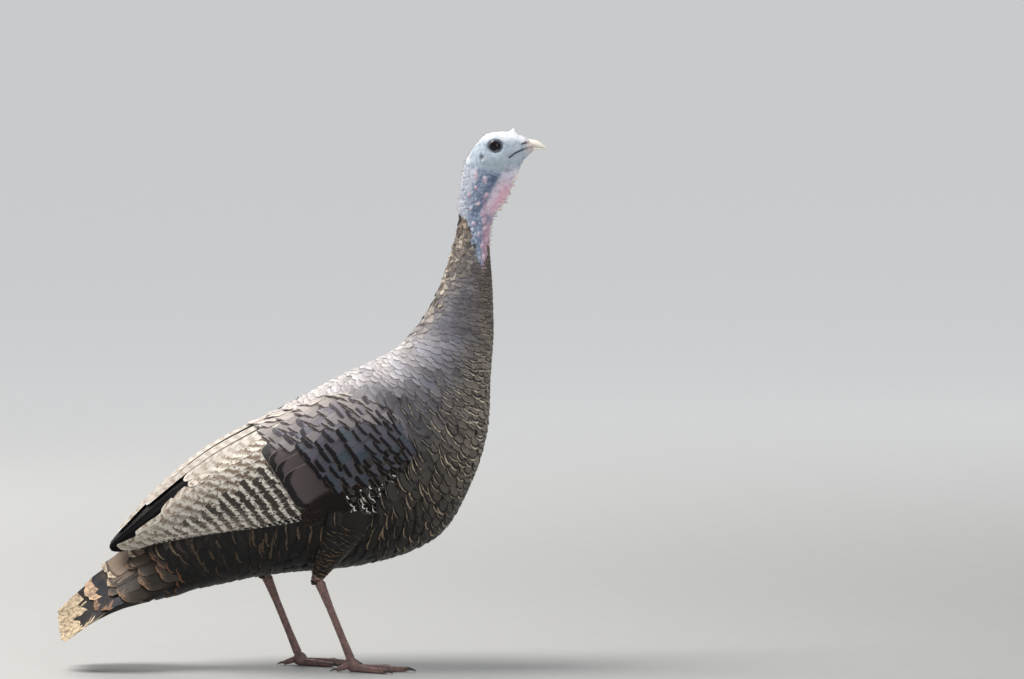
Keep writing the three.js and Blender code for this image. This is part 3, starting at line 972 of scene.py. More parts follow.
@dataclass(frozen=True)
class FloorFinish:
    """A plain pale floor, which glows further off so that it makes an even backdrop."""
    name: str = "studio_floor"
    glow: float = 0.42
    glow_from: float = 0.9  # metres from the middle
    glow_full: float = 4.4

    def make(self) -> Material:
        """Makes the material.

        Returns:
            The material.
        """
        web = Surface(self.name, Roughness=0.75, Emission_Strength=1.0)
        away = web.wires("VectorMath", {0: web.place()}, operation="LENGTH")["Value"]
        glow = web.blend(away.rise(self.glow_from, self.glow_full), np.zeros(3), np.full(3, self.glow))
        web.put(web.shader.inputs["Emission Color"], glow)
        spots = web.noise(web.place(), 30.0)
        return web.done(web.blend(spots, linear(164, 164, 162), linear(170, 170, 168)))


# -------------------------------------------------------------------- feathers

@dataclass(frozen=True)
class VaneShape:
    """The outline and section of one kind of feather, as shares of its length and half width."""
    along: tuple[float, ...] = (0, 0.2, 0.45, 0.68, 0.84, 0.94, 1)
    across: tuple[float, ...] = (-1, -0.55, 0, 0.55, 1)
    root: float = 0.4
    widest: float = 0.62
    blunt: float = 2.2
    thick: float = 0.5
    ridge: float = 0.12
    camber: float = 0.6
    uneven: float = 0.0

    def half(self, s: Array) -> Array:
        """The half width at each share of the length, as a share of the widest."""
        rising = self.root + (1 - self.root) * np.sin(np.clip(s / self.widest, 0, 1) * math.pi / 2) ** 0.8
        falling = np.clip((s - self.widest) / (1 - self.widest), 0, 1)
        return np.where(s < self.widest, rising, (1 - falling ** self.blunt) ** (1 / self.blunt))


SMALL_VANE = VaneShape(blunt=2.5, thick=0.3, camber=0.2, uneven=0.05)
LOOSE_VANE = replace(SMALL_VANE, blunt=1.7, uneven=0.32, camber=0.5)
FINE_VANE = VaneShape(along=(0, 0.12, 0.28, 0.46, 0.62, 0.75, 0.85, 0.92, 0.97, 1),
                      across=(-1, -0.66, -0.33, 0, 0.33, 0.66, 1), thick=0.6, ridge=0.25)
SQUARE_VANE = replace(FINE_VANE, blunt=3.6, widest=0.68)
QUILL_VANE = VaneShape((0, 0.06, 0.14, 0.24, 0.34, 0.44, 0.54, 0.64, 0.73, 0.81, 0.88, 0.935, 0.97, 0.99, 1),
                       across=(-1, -0.6, -0.25, -0.05, 0, 0.05, 0.3, 0.65, 1), root=0.3, widest=0.5,
                       blunt=2.6, thick=0.8, ridge=0.5, camber=0.9)


@dataclass
class Marks:
    """How feathers are coloured, one row each: three colours, then sizes in millimetres and shares."""
    ground: Array
    edge: Array
    dark: Array
    margin: Array | float = 1.0
    band: Array | float = 0.0
    period: Array | float = 6.0
    share: Array | float = 0.4
    bars: Array | float = 0.0
    phase: Array | None = None

    def columns(self, luck: Array) -> dict[str, Array]:
        """The marks as mesh attributes, one row per feather.

        Args:
            luck: A random share for each feather, which places its bars where no phase does.

        Returns:
            The attributes.
        """
        count, phase = len(luck), luck if self.phase is None else self.phase
        triples = {"marks": (self.margin, self.band, phase), "bars": (self.period, self.share, self.bars)}
        colours = {name: np.append(np.broadcast_to(getattr(self, name), (count, 3)), np.ones((count, 1)), 1)
                   for name in ("ground", "edge", "dark")}
        return colours | {name: np.stack([np.broadcast_to(v, count) for v in values], 1)
                          for name, values in triples.items()}


@dataclass
class Plumes:
    """Feathers on one sheet, one entry each; lengths in millimetres, angles in radians.

    Attributes:
        u, v: Where each grows.
        length, width: Its size.
        turn: How far it turns from the sheet's v towards its u.
        sink: How deep its root lies under the sheet.
        proud: How far its tip stands over the sheet.
        roll: How much higher its u side lies than its other side.
        sweep: How far its tip curls sideways.
        marks: Its colours.
    """
    u: Array
    v: Array
    length: Array
    width: Array
    marks: Marks
    turn: Array | float = 0.0
    sink: Array | float = 4.0
    proud: Array | float = 0.3
    roll: Array | float = 0.0
    sweep: Array | float = 0.0


PATCH = 0.004  # how big each small feather is on its texture map


def packed(rows: Array, lows: Array | None = None) -> Array:
    """Each feather's values in order: its root, every row across its top and the one below, its tip.

    Args:
        rows: The top's values as (feathers, rows, places across, values).
        lows: The values below each row's middle; by default the same as in the middle.

    Returns:
        The values as (feathers, vertices, values).
    """
    middle = rows[:, :, rows.shape[2] // 2]
    body = np.concatenate([rows, (middle if lows is None else lows)[:, :, None]], 2)[:, 1:-1]
    return np.concatenate([middle[:, :1], body.reshape(len(rows), -1, rows.shape[-1]), middle[:, -1:]], 1)


class Coat:
    """Collects feathers and writes them out as solid, overlapping vanes."""

    def __init__(self, seed: int) -> None:
        """Starts an empty coat with its own run of random draws."""
        self.rng = np.random.default_rng(seed)
        self.batches: list[tuple[list[Array], dict[str, Array]]] = []

    def march(self, sheet: Sheet, plumes: Plumes, stations: Array) -> Array:
        """Walks each feather's shaft over the sheet, from its root, keeping to its heading.

        Args:
            sheet: The surface.
            plumes: The feathers.
            stations: The shares of the length at which the shaft's place is wanted.

        Returns:
            The shaft's (u, v) places as (feathers, stations, 2).
        """
        u, v = np.array(plumes.u, float), np.array(plumes.v, float)
        path = [np.stack([u, v], -1)]
        for before, after in zip(stations, stations[1:]):
            _, out, slope_u, slope_v = sheet.read(u, v)
            ahead = unit(slope_v - np.sum(slope_v * out, -1, keepdims=True) * out)
            side = np.cross(out, ahead)
            side *= np.sign(np.sum(side * slope_u, -1, keepdims=True))
            angle = (plumes.turn + plumes.sweep * (before + after) / 2)[..., None] + 0 * ahead[..., :1]
            reach = ((after - before) * plumes.length)[:, None]
            du, dv = sheet.move(u, v, (np.cos(angle) * ahead + np.sin(angle) * side) * reach)
            u, v = u + du, v + dv
            path.append(np.stack([u, v], -1))
        return np.stack(path, 1)

    def grow(self, sheet: Sheet, plumes: Plumes, shape: VaneShape, path: Array | None = None,
             unwrap: Array | None = None, lift: Array | float = 0.0) -> None:
        """Adds feathers.

        Args:
            sheet: The surface that they lie on.
            plumes: The feathers.
            shape: Their common outline.
            path: The shafts' places on the sheet where they are already known.
            unwrap: For each feather its texture patch as (left, bottom, width, height); by default a small
                one at its root.
            lift: How much higher each station of each feather lies.
        """
        s, q = np.asarray(shape.along), np.asarray(shape.across)
        count = len(plumes.u)
        spread = {k: np.broadcast_to(np.asarray(getattr(plumes, k), float), (count,))
                  for k in ("length", "width", "turn", "sink", "proud", "roll", "sweep")}
        plumes = replace(plumes, **spread)
        if path is None:
            path = self.march(sheet, plumes, s)
        point, out, slope_u, _ = sheet.read(path[..., 0], path[..., 1])
        run = unit(np.gradient(point, axis=1))
        side = unit(np.cross(out, run))
        side *= np.where(np.sum(side[:, :1] * slope_u[:, :1], -1, keepdims=True) < 0, -1, 1)
        travelled = np.concatenate([np.zeros((count, 1)), np.cumsum(
            np.linalg.norm(np.diff(point, axis=1), axis=-1), axis=1)], 1)
        half = shape.half(s)[None, :] * plumes.width[:, None] / 2
        jag = 1 + shape.uneven * self.rng.normal(size=(count, len(s), 2))
        reach = half[..., None] * q
        reach = np.where(q < 0, reach * jag[..., :1], reach * jag[..., 1:])
        step = side[:, :, None, :] * reach[..., None]
        du, dv = sheet.move(path[:, :, None, 0] + 0 * reach, path[:, :, None, 1] + 0 * reach, step)
        top, lift_way, _, _ = sheet.read(path[:, :, None, 0] + du, path[:, :, None, 1] + dv)
        rise = -plumes.sink[:, None] * (1 - s) ** 1.15 + plumes.proud[:, None] * s ** 2 + lift
        profile = shape.ridge * np.clip(1 - np.abs(q) / 0.3, 0, 1) - shape.camber * q * q
        taper = np.clip(shape.half(s), 0, 1)[None, :, None]
        rise = rise[..., None] + profile * taper + plumes.roll[:, None, None] * q[None, None] * taper
        top = top + lift_way * rise[..., None]
        middle = len(q) // 2
        low = top[:, :, middle] - lift_way[:, :, middle] * (shape.thick * np.sin(
            np.clip(s, 0.08, 0.96) * math.pi) ** 0.5)[None, :, None]
        back = (travelled[:, -1:] - travelled)[..., None] + 0 * reach
        vane = np.stack([reach, back, np.minimum(half[..., None] * (1 - np.abs(q)), back)], -1)
        if unwrap is None:
            corner = np.stack([(plumes.u - sheet.u[0]) / (sheet.u[1] - sheet.u[0]) % 1,
                               (plumes.v - sheet.v[0]) / (sheet.v[1] - sheet.v[0])], -1)
            unwrap = np.concatenate([np.clip(corner, 0.003, 0.995 - PATCH), np.full((count, 2), PATCH)], 1)
        flat = np.stack(np.broadcast_arrays((q / 2 + 0.5)[None, None], s[None, :, None]), -1)
        values = {"points": packed(top, low), "vane": packed(vane),
                  "bake": packed(unwrap[:, None, None, :2] + flat * unwrap[:, None, None, 2:])}
        size = values["points"].shape[1]
        for name, rows in plumes.marks.columns(self.rng.random(count)).items():
            values[name] = np.repeat(rows[:, None], size, axis=1)
        starts = np.arange(count)[:, None, None] * size
        turned = np.sum(np.cross(side, run) * out, -1)[:, 0] < 0
        faces = [(f[:, ::-1 if flip else 1] + starts[turned == flip]).reshape(-1, f.shape[1])
                 for f in self.vane_faces(len(s) - 2, len(q)) for flip in (False, True)]
        self.batches.append((faces, {name: v.reshape(count * size, -1) for name, v in values.items()}))

    @staticmethod
    def vane_faces(rows: int, columns: int) -> list[Array]:
        """One feather's faces: rows of top vertices, each with one more below its middle, between two ends.

        Args:
            rows: How many rows.
            columns: How many top vertices there are in each.

        Returns:
            The quads and the triangles.
        """
        width = columns + 1
        start = 1 + np.arange(rows) * width
        quads, triangles = [], []
        last = 1 + rows * width
        for a, b in zip(start, start[1:]):
            quads += [(a + k, a + k + 1, b + k + 1, b + k) for k in range(columns - 1)]
            quads += [(a + columns, a, b, b + columns)]
            quads += [(a + columns - 1, a + columns, b + columns, b + columns - 1)]
        for end, row, turn in ((0, start[0], 1), (last, start[-1], -1)):
            rim = [(row + k + 1, row + k) for k in range(columns - 1)]
            rim += [(row, row + columns), (row + columns, row + columns - 1)]
            triangles += [(end, *pair[::turn]) for pair in rim]
        return [np.array(quads), np.array(triangles)]

    def write(self, name: str, slot: str, finish: Material, *replaced: str) -> None:
        """Makes one object of all the feathers, and empties the coat.

        Args:
            name: The object's name.
            slot: The record's slot for its finish.
            finish: Its material.
            *replaced: The solids that it stands for.
        """
        points, faces = joined([(values["points"], faces) for faces, values in self.batches])
        values = {key: np.concatenate([v[key] for _, v in self.batches]) for key in self.batches[0][1]}
        del values["points"]
        self.batches = []
        settle(mesh_piece(name, points, faces, finish, bake=values.pop("bake"), attributes=values),
               slot, *replaced)


def settle(piece: Piece, slot: str, *nodes: str) -> Piece:
    """Ties a finished piece to the body.

    Args:
        piece: The piece.
        slot: Its finish's slot in the record; not used.
        *nodes: The solids that it stands for.

    Returns:
        The piece.
    """
    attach(piece, BODY)
    if nodes:
        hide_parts(*nodes)
    LOG.info("%s: %d triangles", piece.name, sum(len(p.vertices) - 2 for p in piece.data.polygons))
    return piece


@dataclass(frozen=True)
class Tract:
    """The look of the plumage about one place on the body.

    Attributes:
        v: Its place from bill (0) to rump.
        low: Its place from the spine (0) to the belly's middle (1).
        ground, edge, dark: The vane's colours.
        margin: The pale rim's width.
        band: The dark band's width.
    """
    v: float
    low: float
    ground: Tint
    edge: Tint
    dark: Tint
    margin: float
    band: float


TRACTS = {
    "nape": Tract(8.6, 0.0, (124, 114, 104), (200, 188, 170), (70, 60, 54), 1.2, 2.0),
    "neck": Tract(10.4, 0.35, (83, 82, 89), (124, 119, 118), (74, 70, 74), 0.4, 0.7),
    "neck front": Tract(10.4, 1.0, (102, 92, 82), (180, 162, 138), (54, 46, 41), 0.8, 1.4),
    # partly painted highlight: the mantle's ground is paler than its own grey, for the lit top of the back
    "mantle": Tract(12.9, 0.0, (204, 197, 194), (218, 208, 200), (126, 117, 116), 0.4, 0.7),
    "shoulder": Tract(12.5, 0.45, (130, 128, 139), (150, 143, 145), (92, 87, 92), 0.4, 0.7),
    "breast": Tract(12.6, 1.0, (168, 155, 136), (250, 238, 212), (38, 32, 28), 2.2, 2.7),
    "side": Tract(13.9, 0.6, (30, 28, 27), (160, 138, 112), (14, 12, 12), 1.4, 3.0),
    # painted shade: a near-black patch where the breast's side curves under into shade
    "shaded_hollow": Tract(13.6, 0.74, (6, 6, 6), (150, 128, 100), (8, 7, 7), 1.3, 2.6),
    "belly": Tract(15.3, 1.0, (30, 25, 23), (86, 68, 52), (15, 13, 13), 2.4, 5.0),
    "flank": Tract(16.8, 0.6, (23, 19, 18), (62, 48, 38), (13, 11, 11), 2.6, 6.0),
    "back": Tract(15.4, 0.0, (176, 164, 154), (204, 192, 176), (70, 60, 56), 0.7, 1.6),
    "rump": Tract(18.2, 0.1, (92, 79, 69), (186, 162, 134), (30, 25, 25), 2.0, 6.0),
}


def tract_looks(v: Array, low: Array) -> tuple[Array, Array, Array, Array, Array]:
    """The plumage at places on the body, blended from the tracts about them.

    Args:
        v: Places from bill to rump.
        low: Places from the spine (0) to the belly's middle (1).

    Returns:
        Ground, edge and dark colours, margin and band widths.
    """
    reach_v, reach_low = 1.5, 0.34
    weights = np.stack([np.exp(-((v - t.v) / reach_v) ** 2 - ((low - t.low) / reach_low) ** 2)
                        for t in TRACTS.values()], -1) + 1e-9
    weights = weights / weights.sum(-1, keepdims=True)
    colours = [weights @ np.stack([linear(*getattr(t, name)) for t in TRACTS.values()])
               for name in ("ground", "edge", "dark")]
    sizes = [weights @ np.array([getattr(t, name) for t in TRACTS.values()]) for name in ("margin", "band")]
    return (*colours, *sizes)


def lowness(u: Array) -> Array:
    """How far round from the spine (0) to the belly's middle (1) a place is."""
    return (1 - np.cos(2 * math.pi * np.asarray(u))) / 2


def bare_until(u: Array) -> Array:
    """Where the bare skin ends and the neck's feathers begin, counted in the body's slices."""
    return mix(7.7, 9.35, smooth(0.03, 0.8, lowness(u))) - 0.5 * smooth(0.84, 1.0, lowness(u))


@dataclass(frozen=True)
class BodyCoat:
    """The small feathers of neck, breast, back, belly and rump, in rows like tiles."""
    line: BodyLine
    wing: WingForm
    first_row: float = 7.7
    last_row: float = 18.7
    neck_step: float = 3.7
    body_step: float = 8.3
    step_from: float = 8.8
    step_to: float = 13.8
    wide: float = 1.65
    lap: float = 3.2
    grain: float = 2.5
    corner: Pair = (-260.0, 100.0)
    cells: tuple[int, int] = (190, 110)

    def rows(self, sheet: Sheet) -> Plumes:
        """Every feather of the body.

        Args:
            sheet: The coat's outside.

        Returns:
            The feathers, from neck to rump.
        """
        rng = np.random.default_rng(SEED)
        found, v, row = [], self.first_row, 0
        while v < self.last_row:
            step = mix(self.neck_step, self.body_step, float(smooth(self.step_from, self.step_to, v)))
            _, _, around, ahead = sheet.read(np.linspace(0, 1, 48), np.full(48, v))
            pace = float(np.linalg.norm(ahead, axis=-1).mean())
            count = max(12, round(float(np.linalg.norm(around, axis=-1).mean()) / (step * self.wide)))
            u = (np.arange(count) + 0.5 * (row % 2) + rng.uniform(-0.2, 0.2, count)) / count % 1
            wave = 0.3 * np.sin(2 * math.pi * 5 * u + 0.9 * row) + rng.uniform(-0.24, 0.24, count)
            vs = v + wave * step / pace
            _, _, around, ahead = sheet.read(u, vs)
            exposed = np.clip(np.linalg.norm(ahead, axis=-1) * step / pace, 0.6 * step, 1.7 * step)
            width = np.clip(np.linalg.norm(around, axis=-1) / count, 0.9 * step, 2.4 * step)
            found.append((u, vs, exposed, width))
            v += step / pace
            row += 1
        u, v, exposed, width = np.concatenate(found, axis=1)
        keep = v > bare_until(u)
        keep &= self.wing_height(sheet, u, v) < mix(1.2, 3.0, smooth(0.2, 0.45, lowness(u)))
        u, v, exposed, width = (a[keep] for a in (u, v, exposed, width))
        low = lowness(u)
        ground, edge, dark, margin, band = tract_looks(v, low)
        count = len(u)
        place = sheet.read(u, v)[0]
        patch = np.clip(ripple(place, 30.0, 21), -1.5, 1.5)
        patch = patch + 0.6 * np.clip(ripple(place, 13.0, 23), -1.5, 1.5)
        tone = (rng.normal(1, 0.09, count) + 0.15 * patch)[:, None]
        hue = smooth(0.0, 1.4, ripple(place, 24.0, 24)) * smooth(9.0, 10.5, v) * smooth(14.5, 12.5, v)
        tint = mix(np.ones(3), np.array([0.94, 0.98, 1.05]), hue[:, None])
        tone, edge = tone * tint, edge * tint
        pale = np.clip(rng.normal(1, 0.3, count) + 0.25 * ripple(place, 22.0, 22), 0.15, 1.7)
        marks = Marks(ground * tone, mix(ground, edge, np.clip(pale, 0, 1.15)[:, None]), dark,
                      margin * np.clip(pale, 0.35, 1.5), band * rng.uniform(0.6, 1.25, count))
        grown = smooth(0, 1.6, v - bare_until(u))
        fluff = np.maximum(smooth(10.6, 8.2, v) * smooth(0.75, 0.35, low),
                           0.8 * smooth(11.8, 10.4, v) * smooth(0.16, 0.04, low))
        loose = ((70, 61, 54), (112, 101, 90), (158, 144, 126), (196, 184, 166))  # the nape's feathers
        tones = np.stack([linear(*c) for c in loose])
        drawn = tones[rng.choice(len(loose), count, p=(0.34, 0.34, 0.2, 0.12))]
        share = (fluff * 0.85)[:, None]
        marks.ground = mix(marks.ground, drawn, share)
        marks.edge = mix(marks.edge, drawn * 1.25, share * 0.6)
        marks.band = marks.band * (1 - 0.7 * fluff)
        frontal = smooth(0.35, 0.8, low)
        depth = mix(1.6, mix(2.5, 4.2, frontal) * mix(0.62, 1.0, smooth(10.8, 12.8, v)), grown)
        swept = -np.sign(0.5 - u) * 0.55 * smooth(12.2, 13.8, v) * smooth(17.5, 15.5, v)
        swept = swept * frontal * smooth(1.0, 0.9, low)
        marks.margin = marks.margin * (rng.random(count) < mix(1.0, 0.4, smooth(14.0, 16.0, v)))
        longer = 1 + 0.5 * fluff * rng.uniform(0, 1, count)
        length = exposed * self.lap * rng.uniform(0.9, 1.12, count) * longer
        turn = rng.normal(0, mix(0.09, 0.4, fluff)) + swept
        proud = mix(-0.3, mix(-0.15, 0.25, smooth(11.2, 12.6, v)), grown)
        proud = proud + fluff * rng.uniform(-0.2, 1.5, count)
        return Plumes(u, v, length, width * 1.55 / longer, marks, turn, depth, proud,
                      rng.normal(0, mix(0.14, 0.55, fluff)), rng.normal(0, mix(0.1, 0.5, fluff)))

    def cell(self, points: Array) -> tuple[Array, Array]:
        """The cell of the cover, a grid seen from the side, that each point lies in."""
        spot = ((points[..., ::2] - self.corner) / self.grain).astype(int)
        return np.clip(spot[..., 0], 0, self.cells[0] - 1), np.clip(spot[..., 1], 0, self.cells[1] - 1)

    @cached_property
    def cover(self) -> Array:
        """The folded wing's outside as a grid of heights.

        Returns:
            How far from the middle it lies in each cell, far below 0 where no wing is.
        """
        points = Sheet.over(lambda u, v: self.wing.outside(u, v, 1), (0, 1, 300), (0, 1, 600)).grid[..., :3]
        cover = np.full(self.cells, -99.0)
        np.maximum.at(cover, self.cell(points), points[..., 1])
        return cover

    def wing_height(self, sheet: Sheet, u: Array, v: Array) -> Array:
        """How far in millimetres the folded wing's outside stands out beyond places (u, v) on the body."""
        point, out, _, _ = sheet.read(u, v)
        beyond = self.cover[self.cell(point)] - np.abs(point[..., 1])
        return np.where(np.abs(out[..., 1]) > 0.4, beyond * np.abs(out[..., 1]), np.minimum(beyond, 0))

    def lift(self, sheet: Sheet, path: Array, length: Array) -> Array:
        """How much higher each station of a feather must lie to pass over the folded wing's front and top.

        Args:
            sheet: The body.
            path: The feathers' shafts.
            length: The feathers' lengths.

        Returns:
            Heights in millimetres.
        """
        u, v = path[..., 0], path[..., 1]
        lift = np.clip(self.wing_height(sheet, u, v) + 1.4, 0, mix(1.5, 12, smooth(0.15, 0.42, lowness(u))))
        gaps = np.diff(SMALL_VANE.along)
        for k in reversed(range(len(gaps))):
            lift[:, k] = np.maximum(lift[:, k], lift[:, k + 1] - 0.9 * gaps[k] * length)
        return lift

    def build(self, finish: Material, neck_finish: Material) -> None:
        """Makes the coat in lengths that stay small enough for their files.

        Args:
            finish: The feathers' material.
            neck_finish: The neck's smoother one.
        """
        sheet = self.line.sheet()
        plumes = self.rows(sheet)
        lengths = {"neck": (0.0, 11.6), "breast": (11.6, 14.2), "belly": (14.2, 25.0)}
        for name, (start, end) in lengths.items():
            for side, sign in SIDES.items():
                chosen = (plumes.v >= start) & (plumes.v < end) & ((plumes.u < 0.5) == (sign > 0))
                coat, part = Coat(SEED + 1), picked(plumes, chosen)
                path = coat.march(sheet, part, np.asarray(SMALL_VANE.along))
                loose = (lowness(part.u) < 0.6) & (part.v < 9.6)
                for shape, which in ((SMALL_VANE, ~loose), (LOOSE_VANE, loose)):
                    if which.any():
                        coat.grow(sheet, picked(part, which), shape, path[which],
                                  lift=self.lift(sheet, path[which], part.length[which]))
                coat.write(f"coat_{name}_{side}", "body_feathers", neck_finish if name == "neck" else finish)


def picked(plumes: Plumes, chosen: Array) -> Plumes:
    """The chosen feathers of a set."""
    marks, rest = ({key: value[chosen] if isinstance(value, Array) and len(value) == len(chosen) else value
                    for key, value in vars(part).items()} for part in (plumes.marks, plumes))
    return replace(plumes, **rest | {"marks": Marks(**marks)})


@dataclass(frozen=True)
class Dress:
    """How one row of wing or tail feathers is coloured."""
    ground: Tint
    edge: Tint
    dark: Tint
    margin: float = 0.8
    band: float = 0.0
    period: float = 6.0
    share: float = 0.4
    bars: float = 0.0
    stray: float = 0.05

    def marks(self, rng: np.random.Generator, count: int, spread: float = 0.07) -> Marks:
        """The marks of some feathers, each a little different.

        Args:
            rng: Where the draws come from.
            count: How many feathers.
            spread: How far their tones differ.

        Returns:
            The marks.
        """
        tone = rng.normal(1, spread, count)[:, None]
        return Marks(linear(*self.ground) * tone, linear(*self.edge) * rng.normal(1, spread, count)[:, None],
                     linear(*self.dark), self.margin * rng.uniform(0.8, 1.2, count),
                     self.band * rng.uniform(0.85, 1.1, count), self.period, self.share, self.bars)


class WingRow(Enum):
    """The rows of a folded wing and how each is coloured."""
    SCAPULAR = Dress((120, 115, 115), (150, 138, 130), (38, 31, 32), 0.5, 2.6)
    FRONT = Dress((90, 88, 95), (112, 104, 100), (56, 51, 54), 0.4, 1.2)
    SHORT_COVERT = Dress((76, 77, 86), (104, 92, 84), (24, 19, 22), 0.8, 3.8)
    COVERT = Dress((68, 71, 79), (104, 89, 79), (18, 14, 17), 1.0, 5.2)
    LOW_COVERT = Dress((60, 58, 56), (104, 90, 76), (18, 15, 15), 0.9, 4.6)
    GREATER = Dress((80, 70, 71), (188, 174, 158), (15, 12, 14), 0.9, 9.0)
    ALULA = Dress((36, 30, 27), (112, 96, 80), (14, 11, 11), 0.6, 2.0)
    SPECKLED = Dress((22, 18, 18), (222, 216, 208), (18, 14, 15), 0.0, 0.0, 9.0, 0.2, 1.0)
    SECONDARY = Dress((76, 70, 65), (220, 213, 200), (44, 38, 36), 0.5, 0.0, 13.0, 0.36, 1.0)
    PALE = Dress((122, 106, 90), (216, 210, 199), (98, 84, 74), 1.2, 0.0, 15.0, 0.5, 0.95, 0.12)
    TERTIAL = Dress((176, 166, 154), (213, 208, 200), (120, 106, 94), 1.6, 0.0, 13.0, 0.5, 0.6, 0.3)
    # partly painted shade: near-black quills for their dark inner webs and for the shadowed gap between the
    # folded wings
    WEDGE = Dress((4, 2, 2), (10, 7, 6), (3, 2, 2))
    PRIMARY = Dress((26, 22, 23), (196, 190, 180), (18, 15, 16), 0.4, 0.0, 7.5, 0.36, 1.0)


COVERT_TINTS = (58, 76, 82), (84, 77, 85)


@dataclass(frozen=True)
class Tiles:
    """Rows of coverts like tiles.

    Attributes:
        row: Their colours.
        along, across: The span of their roots.
        rows, columns: How many.
        size: Their length and width.
        turn: How far they turn towards the lower edge.
        level: How deep the roots lie, and how far the tips stand out.
        slant: How far a row's lower end lies nearer the shoulder.
        shape: Their outline.
        uneven: How far neighbours lie before or behind their row, in rows.
        pair: How many neighbours lie equally far before or behind.
        upper: The ground colour of the feathers nearest the back, paler: partly their own colour and
            partly painted highlight along the wing's lit top edge.
        tints: Further ground colours that single feathers away from the back lean to.
    """
    row: WingRow
    along: Pair
    across: Pair
    rows: int
    columns: int
    size: Pair
    turn: float
    level: Pair = (4.0, 0.3)
    slant: float = 0.0
    shape: VaneShape = SQUARE_VANE
    uneven: float = 0.0
    pair: int = 2
    upper: Tint | None = None
    tints: tuple[Tint, ...] = ()


@dataclass(frozen=True)
class Wing:
    """One folded wing: a closed bed inside, and every feather row over it, from the lowest to the topmost.

    Attributes:
        quills: The rows of quills, as quill_row() takes them: the primaries along the lower edge, the
            secondaries that close over them, the near-black feathers whose edge shows, dark partly by
            painted shade for the gap between the wings, and the pale ones on top.
        tiles: The wrist's small feathers, the coverts, and the grey-brown feathers from the back.
    """
    form: WingForm
    side: str
    bar_way: tuple[float, float, float] = (-0.98, 0.0, -0.19)
    strips: int = 22
    quills: tuple = (
        (WingRow.PRIMARY, ((0.90, 0.30), (0.97, 0.26)), ((0.96, 0.965), (1.0, 0.80)), 5,
         (19, 15), (2.8, 4.2), 0),
        (WingRow.SECONDARY, ((0.40, 0.36), (0.88, 0.33)), ((0.88, 0.925), (0.965, 0.70)), 10,
         (32, 24), (1.2, 2.6), 5),
        (WingRow.WEDGE, ((0.22, 0.44), (0.34, 0.44)), ((0.42, 0.985), (0.80, 0.99)), 3,
         (34, 34), (1.8, 1.6), 0, 0.2),
        (WingRow.PALE, ((0.22, 0.36), (0.38, 0.38)), ((0.40, 0.69), (0.90, 0.95)), 4,
         (30, 32), (0.4, 1.0), 15),
        (WingRow.TERTIAL, ((-0.04, 0.36), (0.16, 0.36)), ((0.08, 0.93), (0.31, 0.70)), 3,
         (34, 30), (-0.3, 0.0), 19, 0.8))
    tiles: tuple[Tiles, ...] = (
        Tiles(WingRow.SPECKLED, (0.13, 0.25), (0.84, 1.0), 6, 6, (26, 13), 0.15, (4, 0.0), shape=FINE_VANE),
        Tiles(WingRow.ALULA, (0.255, 0.275), (0.80, 0.9), 2, 3, (72, 20), 0.3, (1.4, 1.6), shape=FINE_VANE),
        Tiles(WingRow.LOW_COVERT, (0.06, 0.24), (0.66, 0.88), 7, 4, (34, 20), 0.2, (4, 0.1), uneven=0.5),
        Tiles(WingRow.FRONT, (0.02, 0.09), (0.15, 0.70), 4, 8, (38, 20), 0.38, (6, 0.0), 0.12, FINE_VANE,
              0.6, upper=(130, 124, 130)),
        Tiles(WingRow.SHORT_COVERT, (0.10, 0.215), (0.16, 0.72), 5, 7, (40, 22), 0.38, slant=0.17,
              uneven=0.9, pair=1, upper=(122, 116, 122), tints=COVERT_TINTS),
        Tiles(WingRow.COVERT, (0.23, 0.35), (0.20, 0.68), 5, 6, (50, 24), 0.36, slant=0.17, uneven=1.0,
              upper=(116, 112, 120), tints=COVERT_TINTS),
        # the scapulars' near-white upper ground is painted highlight where the top of the wing catches the
        # light
        Tiles(WingRow.SCAPULAR, (0.09, 0.42), (-0.06, 0.26), 11, 6, (42, 23), 0.58, (4, 0.6), 0.12,
              uneven=1.0, pair=1, upper=(192, 181, 172)))

    def build(self, finish: Material, broad_finish: Material) -> None:
        """Makes the wing's pieces.

        Args:
            finish: The feathers' material.
            broad_finish: The material of the large coverts, whose dark band goes round their upper side.
        """
        sheet, solid = self.form.sheet(SIDES[self.side]), f"wing_{self.side}"
        settle(self.bed(sheet, finish), "wing_feathers", solid)
        coat = Coat(SEED + 11)
        for row in self.quills:
            self.quill_row(coat, sheet, *row)
        coat.write(f"wing_quills_{self.side}", "wing_feathers", finish, solid)
        coat = Coat(SEED + 12)
        for tiles in self.tiles:
            self.tiled(coat, sheet, tiles)
        coat.write(f"wing_coverts_{self.side}", "wing_feathers", finish, solid)
        self.greater(coat, sheet)
        coat.write(f"wing_greater_{self.side}", "wing_feathers", broad_finish, solid)

    def bed(self, sheet: Sheet, finish: Material) -> Piece:
        """The closed form under the feathers, a coat's depth inside the wing's outside.

        Args:
            sheet: The wing's outside.
            finish: Its material.

        Returns:
            The piece.
        """
        a, c = np.meshgrid(np.linspace(0.04, 0.93, 48), np.linspace(0.05, 0.95, 20), indexing="ij")
        point, out, _, _ = sheet.read(c, a)
        thick = mix(self.form.thick_at_shoulder, self.form.thick_at_tip, a)
        outer = point - out * mix(6.0, 4.5, a)[..., None]
        inner = point - out * (6 + (thick - 7.5) * np.sin((c - 0.05) / 0.9 * math.pi) ** 0.4)[..., None]
        points, faces = tube(np.concatenate([outer, inner[:, ::-1]], axis=1))
        looks = WingRow.ALULA.value.marks(np.random.default_rng(SEED), 1).columns(np.array([0.5]))
        attributes = {k: np.repeat(v, len(points), axis=0) for k, v in looks.items()}
        attributes["vane"] = np.tile([9.0, 40.0, 20.0], (len(points), 1))
        return mesh_piece(f"wing_bed_{self.side}", points, faces, finish, attributes)

